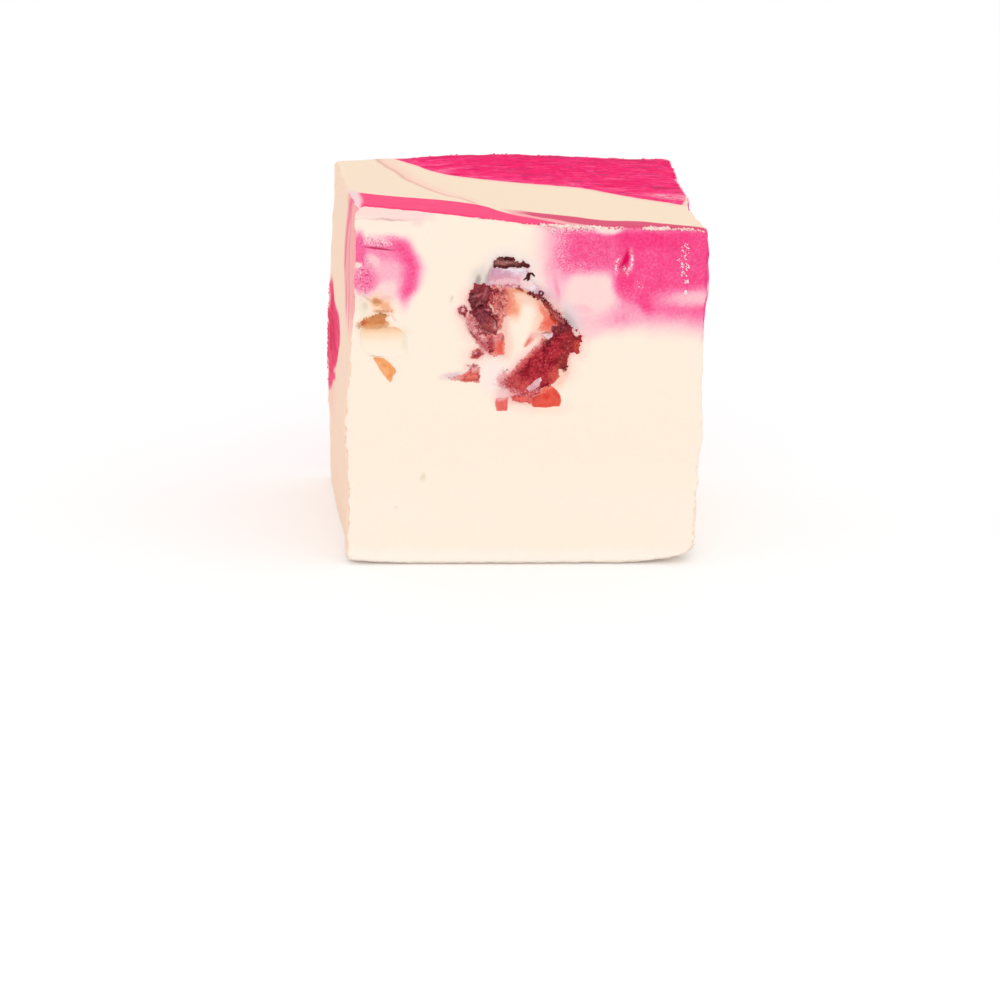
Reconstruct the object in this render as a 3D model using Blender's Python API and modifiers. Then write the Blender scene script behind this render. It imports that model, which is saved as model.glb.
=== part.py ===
# White chocolate fudge: one hand-cut cube, marbled pink, with a torn piece of dried fruit, its
# scraps and a piece of nut showing in the front face.
# Metres, +Z up. The origin is the middle of the base, and the front face looks to -Y.

import math

import bmesh
import bpy
from mathutils import Matrix, Vector, noise

MM = 0.001

# ---- driving dimensions of the block -------------------------------------------------------
WIDTH = 34.8 * MM
DEPTH = 33.0 * MM
HEIGHT = 35.0 * MM
EDGE_RADIUS = 0.4 * MM
GRID_CUTS = 26  # cuts across each face
GRID_CROWDING = 0.78  # 0 spaces the cuts evenly, 1 packs them at the edges
SHARP_ANGLE = 40.0  # degrees

# How far the knife left each corner from the plain box, in mm. The keys are the corner's sides.
CORNER_SHIFT = {
    (-1, -1, 0): (0.15, 0.0, 0.0),
    (1, -1, 0): (-0.05, 0.0, 0.0),
    (-1, 1, 0): (-0.55, 0.1, 0.0),
    (1, 1, 0): (0.2, 0.0, 0.0),
    (-1, -1, 1): (0.65, 0.1, 0.9),
    (1, -1, 1): (0.05, -0.1, -1.25),
    (-1, 1, 1): (-0.4, 0.0, -0.45),
    (1, 1, 1): (0.5, -0.1, 0.1),
}

# How much is worn off each corner, measured along its three edges together, in mm
CORNER_WEAR = {
    (-1, -1, 1): 1.3,
    (1, -1, 1): 0.9,
    (-1, 1, 1): 1.1,
    (1, 1, 1): 0.6,
    (-1, -1, 0): 0.9,
    (1, -1, 0): 1.7,
    (-1, 1, 0): 1.0,
    (1, 1, 0): 1.0,
}

# Swells and dents of the sides, in mm: where along and up the side, how high, how wide
LEFT_SWELLS = (
    {"at": (-16.5, 14.9), "rise": 0.55, "reach": (9.0, 4.4)},
    {"at": (16.5, 16.0), "rise": 0.58, "reach": (13.0, 10.0)},
    {"at": (-7.0, 0.8), "rise": -0.3, "reach": (6.0, 3.0)},
)
RIGHT_SWELLS = (
    {"at": (-16.5, 29.6), "rise": 0.3, "reach": (8.0, 2.8)},
    {"at": (-16.5, 14.3), "rise": 0.3, "reach": (8.0, 2.4)},
    {"at": (-8.5, 34.2), "rise": -0.75, "reach": (5.0, 5.0)},
    {"at": (4.0, 34.2), "rise": -0.38, "reach": (5.0, 5.0)},
)
TOP_SWELLS = (
    {"at": (-0.8, 16.5), "rise": 0.7, "reach": (12.0, 9.0)},
    {"at": (1.0, -16.5), "rise": -0.6, "reach": (9.0, 8.0)},
)

# The front corners of the base curl up: from this far out along x, in mm, to the side face
BASE_CURLS = (
    {"side": 1, "start": 9.0, "lift": 1.1, "power": 2.2},
    {"side": -1, "start": 11.5, "lift": 0.35, "power": 1.5},
)
CURL_DEPTH = 9.0 * MM
CURL_HEIGHT = 5.0 * MM
FRONT_EDGE_LIFT = 0.12 * MM
FRONT_EDGE_REACH = 1.0 * MM
FLAT_TOLERANCE = 0.03 * MM

# Crumbly cut edges
CRUMB_HEIGHT = 0.22 * MM
CRUMB_PITCH = 1.5 * MM
CRUMB_REACH = 0.8 * MM
CRUMB_SHARE_UP = 0.5  # how much of it stands up from the top face
SMOOTH_BASE_SHARE = 0.25  # the crumbs fade out over this share of the height above the base

# ---- the pieces set in the front face ------------------------------------------------------
FRONT_Y = -DEPTH / 2.0
GAP = 0.3 * MM
SINK = 0.3  # how deep a ball's middle lies behind the face, as a share of its radius
PROUD = 0.15 * MM
WRINKLE_HEIGHT = 0.16 * MM
WRINKLE_PITCH = 0.9 * MM
BALL_SPACING = 0.45  # between the balls along a strand, as a share of their radius
BALL_SUBDIVISIONS = 2
SOFTEN_PASSES = 2
PIECE_VOXEL = 0.2 * MM
POCKET_VOXEL = 0.3 * MM

# Each piece is a set of strands. A strand runs through (x, z, half width), in mm, on the face.
FRUIT_STRANDS = (
    (
        (-3.3, 21.5, 0.55),
        (-3.6, 22.9, 0.9),
        (-3.9, 24.4, 1.4),
        (-4.2, 25.9, 1.6),
        (-4.0, 27.2, 1.2),
        (-2.8, 27.4, 0.7),
        (-1.4, 27.7, 0.4),
        (0.2, 27.4, 0.4),
        (1.6, 26.6, 0.5),
        (2.6, 25.4, 0.75),
        (3.5, 24.1, 0.9),
        (4.3, 22.8, 1.0),
        (3.4, 21.8, 1.5),
        (2.0, 20.7, 1.7),
        (0.6, 19.6, 1.65),
        (-0.6, 18.8, 1.3),
        (-1.5, 18.6, 0.8),
    ),
    ((-3.4, 26.6, 1.0), (-2.5, 25.9, 0.85), (-2.2, 25.0, 0.5)),
    ((-6.15, 25.7, 0.45), (-5.7, 24.7, 0.3), (-5.1, 23.7, 0.4), (-4.2, 22.8, 0.5), (-4.5, 21.5, 0.45)),
    ((4.0, 22.6, 0.8), (5.0, 22.9, 0.45)),
    ((2.9, 21.2, 1.2), (3.9, 20.3, 0.4)),
)
SKIN_FLAKE_STRANDS = (((-3.0, 30.1, 0.4), (-2.2, 30.4, 0.5), (-1.1, 30.2, 0.45), (-0.1, 29.9, 0.35)),)
FLESH_CHIP_STRANDS = (((1.9, 16.9, 0.55), (2.7, 17.0, 0.8), (3.0, 17.0, 0.7)),)
SMALL_CHIP_STRANDS = (((-2.15, 16.7, 0.5), (-2.35, 16.1, 0.5)),)
SHRED_STRANDS = (((-7.6, 19.1, 0.2), (-6.4, 18.9, 0.35), (-5.4, 19.1, 0.5), (-4.8, 19.2, 0.55)),)
NUT_STRANDS = (
    ((-14.3, 26.1, 0.7), (-14.3, 24.9, 1.2), (-13.8, 23.3, 1.7), (-13.3, 22.9, 1.4)),
)
NUT_SLIVER_STRANDS = (((-14.7, 20.8, 0.25), (-13.9, 20.3, 0.4), (-13.4, 19.7, 0.5), (-13.2, 19.0, 0.35)),)

# Triangles of each piece and of the pocket that it sits in
TRIANGLES = {
    "dried_fruit": (2200, 700),
    "fruit_skin_flake": (260, 120),
    "fruit_flesh_chip": (260, 120),
    "fruit_small_chip": (160, 80),
    "fruit_shred": (220, 120),
    "nut_piece": (500, 200),
    "nut_sliver": (180, 100),
}

# ---- colours from the photograph: colour and roughness -------------------------------------
CREAM = ((0.93, 0.82, 0.68, 1.0), 0.45)
SKIN = ((0.16, 0.02, 0.03, 1.0), 0.3)
FLESH = ((0.72, 0.1, 0.06, 1.0), 0.3)
KERNEL = ((0.9, 0.68, 0.42, 1.0), 0.5)
KERNEL_SKIN = ((0.75, 0.33, 0.1, 1.0), 0.5)


# ---- scene helpers -------------------------------------------------------------------------
def clear_scene():
    for obj in list(bpy.data.objects):
        bpy.data.objects.remove(obj, do_unlink=True)


def new_collection(name):
    collection = bpy.data.collections.new(name)
    bpy.context.scene.collection.children.link(collection)
    return collection


def make_material(name, look):
    colour, roughness = look
    material = bpy.data.materials.new(name)
    material.use_nodes = True
    shader = material.node_tree.nodes["Principled BSDF"]
    shader.inputs["Base Color"].default_value = colour
    shader.inputs["Roughness"].default_value = roughness
    shader.inputs["Metallic"].default_value = 0.0
    material.diffuse_color = colour
    return material


def object_from_bmesh(name, bm, collection):
    mesh = bpy.data.meshes.new(name)
    bm.to_mesh(mesh)
    bm.free()
    obj = bpy.data.objects.new(name, mesh)
    collection.objects.link(obj)
    return obj


def apply_modifiers(obj):
    graph = bpy.context.evaluated_depsgraph_get()
    graph.update()
    mesh = bpy.data.meshes.new_from_object(obj.evaluated_get(graph))
    obj.modifiers.clear()
    obj.data = mesh


# ---- the block -----------------------------------------------------------------------------
def crowd_to_edges(value):
    return (1.0 - GRID_CROWDING) * value + GRID_CROWDING * math.sin(0.5 * math.pi * value)


def bump(swell, along, up):
    """Height of one swell at a point of its side, fading like a bell."""
    far_along = (along - swell["at"][0] * MM) / (swell["reach"][0] * MM)
    far_up = (up - swell["at"][1] * MM) / (swell["reach"][1] * MM)
    return swell["rise"] * MM * math.exp(-far_along**2 - far_up**2)


def round_edges(point):
    """Pull a point of the plain box's surface onto the same box with rounded edges."""
    half = Vector((WIDTH / 2.0, DEPTH / 2.0, HEIGHT / 2.0))
    middle = Vector((0.0, 0.0, HEIGHT / 2.0))
    local = point - middle
    core = Vector([max(-h + EDGE_RADIUS, min(h - EDGE_RADIUS, c)) for c, h in zip(local, half)])
    out = local - core
    return middle + core + out.normalized() * EDGE_RADIUS


def wear_corners(point):
    """Cut each corner off with a small flat."""
    for (side_x, side_y, top), wear in CORNER_WEAR.items():
        from_x = WIDTH / 2.0 - side_x * point.x
        from_y = DEPTH / 2.0 - side_y * point.y
        from_z = (HEIGHT - point.z) if top else point.z
        short = wear * MM - (from_x + from_y + from_z)
        if short > 0.0:
            inward = Vector((-side_x, -side_y, -1.0 if top else 1.0))
            point = point + inward * (short / 3.0)
    return point


def edge_crumbs(point):
    """Ragged relief that lives on the upright and top edges and fades within a millimetre."""
    near_x = math.exp(-(WIDTH / 2.0 - abs(point.x)) / CRUMB_REACH)
    near_y = math.exp(-(DEPTH / 2.0 - abs(point.y)) / CRUMB_REACH)
    near_z = math.exp(-(HEIGHT - point.z) / CRUMB_REACH)
    rough = noise.noise(point / CRUMB_PITCH) * CRUMB_HEIGHT
    side_x = math.copysign(1.0, point.x)
    side_y = math.copysign(1.0, point.y)
    return Vector(
        (
            side_x * rough * near_x * max(near_y, near_z),
            side_y * rough * near_y * max(near_x, near_z),
            CRUMB_SHARE_UP * rough * near_z * max(near_x, near_y),
        )
    )


def base_lift(x, y):
    """How far the underside is raised at a place near the front edge."""
    from_front = y + DEPTH / 2.0
    lift = FRONT_EDGE_LIFT * math.exp(-((from_front / FRONT_EDGE_REACH) ** 2))
    for curl in BASE_CURLS:
        start = curl["start"] * MM
        out = (curl["side"] * x - start) / (WIDTH / 2.0 - start)
        if out > 0.0:
            fade = math.exp(-((from_front / CURL_DEPTH) ** 2))
            lift += curl["lift"] * MM * out ** curl["power"] * fade
    return lift if lift > FLAT_TOLERANCE else 0.0


def lean_with_corners(point):
    """Move a point with the eight shifted corners, blended between them."""
    share_x = point.x / WIDTH + 0.5
    share_y = point.y / DEPTH + 0.5
    share_z = point.z / HEIGHT
    moved = point.copy()
    for (side_x, side_y, top), shift in CORNER_SHIFT.items():
        weight = share_x if side_x > 0 else 1.0 - share_x
        weight *= share_y if side_y > 0 else 1.0 - share_y
        weight *= share_z if top else 1.0 - share_z
        moved += weight * MM * Vector(shift)
    return moved


def block_point(unit):
    """The place on the block of a point on the surface of a cube from -1 to 1."""
    point = Vector(
        (
            crowd_to_edges(unit.x) * WIDTH / 2.0,
            crowd_to_edges(unit.y) * DEPTH / 2.0,
            (crowd_to_edges(unit.z) + 1.0) * HEIGHT / 2.0,
        )
    )
    share_x = point.x / WIDTH + 0.5
    share_z = point.z / HEIGHT
    left = sum(bump(swell, point.y, point.z) for swell in LEFT_SWELLS) * (1.0 - share_x)
    right = sum(bump(swell, point.y, point.z) for swell in RIGHT_SWELLS) * share_x
    top = sum(bump(swell, point.x, point.y) for swell in TOP_SWELLS) * share_z
    crumbs = edge_crumbs(point) * min(1.0, share_z / SMOOTH_BASE_SHARE)
    placed = lean_with_corners(wear_corners(round_edges(point)))
    placed += crumbs + Vector((right - left, 0.0, top))
    near_base = max(0.0, 1.0 - point.z / CURL_HEIGHT) ** 2
    placed.z = max(0.0, placed.z + base_lift(point.x, point.y) * near_base)
    return placed


def build_block(collection, material):
    bm = bmesh.new()
    bmesh.ops.create_cube(bm, size=2.0)
    bmesh.ops.subdivide_edges(bm, edges=bm.edges[:], cuts=GRID_CUTS, use_grid_fill=True)
    for vertex in bm.verts:
        vertex.co = block_point(vertex.co)
    bmesh.ops.triangulate(bm, faces=bm.faces[:])
    block = object_from_bmesh("fudge_block", bm, collection)
    block.data.materials.append(material)
    block.data.shade_smooth()
    block.data.set_sharp_from_angle(angle=math.radians(SHARP_ANGLE))
    return block


# ---- pieces set in the face ----------------------------------------------------------------
def strand_balls(strand):
    """Balls close enough together along a strand to read as one tapering string."""
    for start, end in zip(strand, strand[1:]):
        gap = math.dist(start[:2], end[:2])
        steps = max(1, math.ceil(gap / (BALL_SPACING * min(start[2], end[2]))))
        for step in range(steps + 1):
            share = step / steps
            yield tuple(a + (b - a) * share for a, b in zip(start, end))


def balls_object(name, strands, collection, grow, voxel):
    """One closed body that covers all the strands' balls, each grown by the same amount."""
    bm = bmesh.new()
    for strand in strands:
        for x, z, half_width in strand_balls(strand):
            radius = half_width * MM / math.sqrt(1.0 - SINK**2)
            middle = Vector((x * MM, FRONT_Y + SINK * radius, z * MM))
            place = Matrix.Translation(middle)
            bmesh.ops.create_icosphere(
                bm, subdivisions=BALL_SUBDIVISIONS, radius=radius + grow, matrix=place
            )
    obj = object_from_bmesh(name, bm, collection)
    remesh = obj.modifiers.new("fuse", "REMESH")
    remesh.mode = "VOXEL"
    remesh.voxel_size = voxel
    smooth = obj.modifiers.new("soften", "SMOOTH")
    smooth.iterations = SOFTEN_PASSES
    apply_modifiers(obj)
    return obj


def thin_out(obj, triangles):
    """Leave a live modifier that brings the mesh to about this many triangles."""
    obj.data.calc_loop_triangles()
    decimate = obj.modifiers.new("thin out", "DECIMATE")
    decimate.ratio = min(1.0, triangles / len(obj.data.loop_triangles))


def build_piece(name, strands, triangles, collection, material):
    obj = balls_object(name, strands, collection, 0.0, PIECE_VOXEL)
    for vertex in obj.data.vertices:
        wrinkle = noise.noise(vertex.co / WRINKLE_PITCH) * WRINKLE_HEIGHT
        vertex.co += vertex.normal * min(0.0, wrinkle)
        vertex.co.y = max(vertex.co.y, FRONT_Y - PROUD - wrinkle)
    thin_out(obj, triangles)
    obj.data.materials.append(material)
    obj.data.shade_smooth()
    return obj


def cut_pocket(block, name, strands, triangles, cutters):
    cutter = balls_object(name + "_pocket", strands, cutters, GAP, POCKET_VOXEL)
    thin_out(cutter, triangles)
    apply_modifiers(cutter)
    cutter.display_type = "WIRE"
    cutter.hide_render = True
    cut = block.modifiers.new(name, "BOOLEAN")
    cut.operation = "DIFFERENCE"
    cut.solver = "EXACT"
    cut.object = cutter


def main():
    clear_scene()
    parts = new_collection("white_chocolate_fudge")
    cutters = new_collection("cutters")
    cream = make_material("fudge", CREAM)
    skin = make_material("fruit_skin", SKIN)
    flesh = make_material("fruit_flesh", FLESH)
    kernel = make_material("nut_kernel", KERNEL)
    kernel_skin = make_material("nut_skin", KERNEL_SKIN)

    block = build_block(parts, cream)
    pieces = (
        ("dried_fruit", FRUIT_STRANDS, skin),
        ("fruit_skin_flake", SKIN_FLAKE_STRANDS, skin),
        ("fruit_flesh_chip", FLESH_CHIP_STRANDS, flesh),
        ("fruit_small_chip", SMALL_CHIP_STRANDS, flesh),
        ("fruit_shred", SHRED_STRANDS, flesh),
        ("nut_piece", NUT_STRANDS, kernel),
        ("nut_sliver", NUT_SLIVER_STRANDS, kernel_skin),
    )
    for name, strands, material in pieces:
        piece_triangles, pocket_triangles = TRIANGLES[name]
        build_piece(name, strands, piece_triangles, parts, material)
        cut_pocket(block, name, strands, pocket_triangles, cutters)


main()
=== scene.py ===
# A hand-cut cube of white chocolate fudge, marbled pink, with a dried fruit and a nut in its face
# Sizes are in millimetres, x to the right, y away from the front, z up, until a mesh is written

import math
import random

import bmesh
import bpy
import numpy as np
from mathutils import Matrix, Vector, noise


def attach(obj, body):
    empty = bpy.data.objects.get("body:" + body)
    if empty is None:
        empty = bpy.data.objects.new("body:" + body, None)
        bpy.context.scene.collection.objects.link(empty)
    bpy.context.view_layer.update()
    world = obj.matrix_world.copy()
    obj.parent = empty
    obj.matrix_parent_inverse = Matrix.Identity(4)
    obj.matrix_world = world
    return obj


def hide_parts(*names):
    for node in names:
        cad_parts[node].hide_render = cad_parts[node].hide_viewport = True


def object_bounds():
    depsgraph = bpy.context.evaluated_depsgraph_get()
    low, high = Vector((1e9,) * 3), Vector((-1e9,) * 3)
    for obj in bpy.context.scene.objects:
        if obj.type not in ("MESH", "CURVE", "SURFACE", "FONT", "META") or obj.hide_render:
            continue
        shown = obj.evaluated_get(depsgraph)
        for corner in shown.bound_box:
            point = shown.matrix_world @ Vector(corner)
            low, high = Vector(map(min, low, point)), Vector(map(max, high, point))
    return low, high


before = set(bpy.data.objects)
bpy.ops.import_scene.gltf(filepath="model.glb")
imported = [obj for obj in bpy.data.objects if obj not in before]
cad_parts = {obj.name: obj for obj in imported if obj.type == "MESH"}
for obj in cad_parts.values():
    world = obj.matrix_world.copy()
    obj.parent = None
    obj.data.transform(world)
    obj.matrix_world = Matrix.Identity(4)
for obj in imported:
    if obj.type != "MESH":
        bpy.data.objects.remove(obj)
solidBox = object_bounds()
mm = 0.001
through = 1000.0  # a reach that runs right through the block
hair = 0.001  # for telling which points lie on the front
clearance = 0.005  # kept free inside the box of the CAD solids
endless = 1e9  # the distance that a search begins with
faceLight = 1.09  # how bright the studio makes white on the front face


# Colours and materials

def paint(colour, light=faceLight):
    # a colour as it should look on screen, 0 to 255, turned into the material's own colour
    def channel(value):
        value /= 255
        value = value / 12.92 if value < 0.04045 else ((value + 0.055) / 1.055) ** 2.4
        return min(1.0, value / light)
    return tuple(channel(value) for value in colour) + (1.0,)


class Wire:
    # one shader socket, which can be used in sums
    def __init__(self, look, socket):
        self.look = look
        self.socket = socket

    def maths(self, operation, *others):
        sockets = dict(enumerate((self, *others)))
        return self.look.node("ShaderNodeMath", {"operation": operation}, sockets)

    def __add__(self, other):
        return self.maths("ADD", other)

    def __radd__(self, other):
        return self.maths("ADD", other)

    def __sub__(self, other):
        return self.maths("SUBTRACT", other)

    def __rsub__(self, other):
        return self.look.node("ShaderNodeMath", {"operation": "SUBTRACT"}, {0: other, 1: self})

    def __mul__(self, other):
        return self.maths("MULTIPLY", other)

    def __rmul__(self, other):
        return self.maths("MULTIPLY", other)

    def __truediv__(self, other):
        return self.maths("DIVIDE", other)

    def __rtruediv__(self, other):
        return self.look.node("ShaderNodeMath", {"operation": "DIVIDE"}, {0: other, 1: self})

    def __abs__(self):
        return self.maths("ABSOLUTE")


# how light spreads under a surface: its reach in mm, and how much of that red, green and blue have
glow = {"reach": 0.6, "share": (1.0, 0.55, 0.4)}


class Look:
    # one material and the nodes that make it
    def __init__(self, name, roughness, softness=0.0, shine=0.5):
        self.material = bpy.data.materials.new(name)
        self.material.use_nodes = True
        self.tree = self.material.node_tree
        self.shader = self.tree.nodes["Principled BSDF"]
        self.shader.inputs["Roughness"].default_value = roughness
        self.shader.inputs["Subsurface Weight"].default_value = softness
        self.shader.inputs["Subsurface Radius"].default_value = glow["share"]
        self.shader.inputs["Subsurface Scale"].default_value = glow["reach"] * mm
        self.shader.inputs["Specular IOR Level"].default_value = shine
        spot = self.node("ShaderNodeTexCoord", {}, {}, "Object")
        self.place = self.vectorMaths("SCALE", {0: spot, "Scale": 1 / mm})
        self.x, self.y, self.z = self.split(self.place)

    def node(self, kind, settings, sockets, out=0):
        made = self.tree.nodes.new(kind)
        for key, value in settings.items():
            if key == "stops":
                self.fillRamp(made.color_ramp, value)
            elif key == "points":
                self.fillCurve(made.mapping, value)
            else:
                setattr(made, key, value)
        for key, value in sockets.items():
            if isinstance(value, Wire):
                self.tree.links.new(value.socket, made.inputs[key])
            else:
                made.inputs[key].default_value = value
        return Wire(self, made.outputs[out])

    def fillRamp(self, ramp, stops):
        while len(ramp.elements) > 1:
            ramp.elements.remove(ramp.elements[-1])
        ramp.elements[0].position = stops[0][0]
        ramp.elements[0].color = stops[0][1]
        for place, colour in stops[1:]:
            ramp.elements.new(place).color = colour

    def fillCurve(self, mapping, points):
        line = mapping.curves[0]
        line.points[0].location = points[0]
        line.points[-1].location = points[-1]
        for point in points[1:-1]:
            line.points.new(*point)
        for point in line.points:
            point.handle_type = "AUTO_CLAMPED"
        mapping.update()

    def vectorMaths(self, operation, sockets, out=0):
        return self.node("ShaderNodeVectorMath", {"operation": operation}, sockets, out)

    def split(self, vector):
        made = self.node("ShaderNodeSeparateXYZ", {}, {0: vector})
        outputs = made.socket.node.outputs
        return [Wire(self, outputs[axis]) for axis in range(3)]

    def vector(self, x, y, z):
        return self.node("ShaderNodeCombineXYZ", {}, {0: x, 1: y, 2: z})

    def field(self, name):
        # a number that the mesh carries at each of its points
        return self.node("ShaderNodeAttribute", {"attribute_name": name}, {}, "Fac")

    def step(self, value, low, high):
        # 0 below low, 1 above high, smooth between
        return self.node(
            "ShaderNodeMapRange",
            {"interpolation_type": "SMOOTHSTEP", "clamp": False},
            {"Value": value, "From Min": low, "From Max": high},
        )

    def curve(self, value, points):
        # a smooth line through the points
        xs = [point[0] for point in points]
        ys = [point[1] for point in points]
        low, high = min(ys), max(ys)
        unit = [((x - xs[0]) / (xs[-1] - xs[0]), (y - low) / (high - low)) for x, y in points]
        share = (value - xs[0]) / (xs[-1] - xs[0])
        share = self.node("ShaderNodeClamp", {}, {0: share})
        line = self.node("ShaderNodeFloatCurve", {"points": unit}, {"Factor": 1.0, "Value": share})
        return line * (high - low) + low

    def noise(self, where, size, detail=2.0, roughness=0.5):
        # grain of about that size in mm, from 0 to 1
        return self.node(
            "ShaderNodeTexNoise",
            {"noise_dimensions": "3D"},
            {"Vector": where, "Scale": 1.0 / size, "Detail": detail, "Roughness": roughness},
        )

    def stretched(self, where, sizes):
        # the same place measured in other units along x, y and z, for streaks
        return self.vectorMaths("MULTIPLY", {0: where, 1: [1.0 / size for size in sizes]})

    def warped(self, where, size, amount, detail):
        # the place pushed about by noise, so that no line stays straight
        push = self.node(
            "ShaderNodeTexNoise",
            {"noise_dimensions": "3D"},
            {"Vector": where, "Scale": 1.0 / size, "Detail": detail},
            "Color",
        )
        push = self.vectorMaths("SUBTRACT", {0: push, 1: (0.5, 0.5, 0.5)})
        push = self.vectorMaths("SCALE", {0: push, "Scale": 2 * amount})
        return self.vectorMaths("ADD", {0: where, 1: push})

    def blob(self, where, middle, reach, turn, soft, fray=None):
        # 1 inside an oval, 0 outside it; the direction with the longest reach is left out
        flat = max(range(3), key=lambda axis: reach[axis])
        turned = Matrix.Rotation(math.radians(turn), 3, "XYZ"[flat])
        away = self.vectorMaths("SUBTRACT", {0: where, 1: middle})
        parts = [
            self.vectorMaths("DOT_PRODUCT", {0: away, 1: turned.col[axis] / reach[axis]}, "Value")
            for axis in range(3) if axis != flat
        ]
        far = self.vectorMaths("LENGTH", {0: self.vector(*parts, 0.0)}, "Value")
        if fray:
            far = far + fray
        return self.step(far, 1.0 + soft, 1.0 - soft)

    def frontOval(self, where, middle, reach, turn=0.0, soft=0.4, fray=None):
        # an oval as the front shows it, in x and z
        (mx, mz), (rx, rz) = middle, reach
        return self.blob(where, (mx, 0.0, mz), (rx, through, rz), turn, soft, fray)

    def blend(self, under, over, share):
        # mixes two colours
        return self.node("ShaderNodeMix", {"data_type": "RGBA"}, {"Factor": share, 6: under, 7: over}, 2)

    def ramp(self, value, stops):
        return self.node("ShaderNodeValToRGB", {"stops": stops}, {"Fac": value})

    def colour(self, wire):
        self.tree.links.new(wire.socket, self.shader.inputs["Base Color"])

    def bump(self, height, depth):
        # depth in mm for a height from 0 to 1
        normal = self.node("ShaderNodeBump", {}, {"Strength": 1.0, "Distance": depth * mm, "Height": height})
        self.tree.links.new(normal.socket, self.shader.inputs["Normal"])


def over(under, value, share):
    # paint a value over another where share is 1
    return under + (value - under) * share


fudge = {
    "softness": 0.15,
    "roughness": 0.6,
    "shine": 0.03,
    # areas with dry pale specks: middle (x, z), reach, and how pink the specks are
    "dry": [
        (-14.4, 32.3, 1.4, 0.5, 0.2),
        (-15.8, 29.0, 0.9, 1.5, 0.5),
        (2.9, 31.8, 1.1, 2.6, 0.36),
        (4.5, 29.9, 2.0, 0.7, 0.44),
        (4.0, 33.9, 3.0, 0.6, 0.15),
        (10.2, 28.0, 1.3, 0.7, 0.68),
    ],
    # how bright the studio makes each side, and its screen colours from plain cream to the strongest pink
    "front": (faceLight, [
        (255, 237, 220), (253, 214, 212), (250, 176, 196), (248, 127, 170), (247, 84, 144), (244, 54, 124),
    ]),
    "top": (1.04, [
        (248, 224, 199), (250, 204, 190), (247, 168, 172), (249, 112, 150), (253, 48, 128), (244, 0, 100),
    ]),
    "side": (1.0, [
        (242, 211, 188), (245, 186, 176), (236, 144, 152), (236, 116, 140), (236, 66, 112), (210, 14, 74),
    ]),
    "rampPlaces": (0.0, 0.22, 0.42, 0.62, 0.82, 1.0),
}

# Grains on the front: screen colour, strength, oval (x, z, reach x, reach z, turn, softness),
# and where in the noise they begin and end; without that the oval is plain
frontGrains = [
    ((176, 20, 80), 0.75, (-15.8, 28.9, 1.1, 1.7, 0, 0.5), (0.43, 0.36)),
    ((170, 60, 120), 0.6, (-14.3, 32.3, 1.9, 0.7, 0, 0.5), (0.41, 0.35)),
    ((186, 70, 100), 0.7, (3.4, 34.0, 1.6, 0.9, 0, 0.6), (0.42, 0.34)),
    ((190, 50, 110), 0.45, (6.0, 31.4, 3.0, 1.9, 0, 0.6), (0.42, 0.34)),
    ((200, 50, 110), 0.4, (15.6, 31.6, 2.0, 2.6, 0, 0.6), (0.42, 0.34)),
    # the slit in the large pink, with its pale lips
    ((252, 196, 218), 0.8, (9.8, 30.5, 0.4, 1.2, 8, 0.4), (0.36, 0.5)),
    ((252, 180, 208), 0.7, (8.65, 30.0, 0.3, 0.9, 12, 0.5), (0.42, 0.56)),
    ((248, 96, 150), 1.0, (9.3, 30.35, 0.5, 1.15, 14, 0.4), None),
    ((226, 10, 94), 1.0, (9.42, 30.85, 0.3, 0.85, 16, 0.6), None),
    ((214, 20, 96), 0.8, (9.15, 30.0, 0.35, 0.5, 0, 0.5), (0.56, 0.46)),
]

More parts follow.
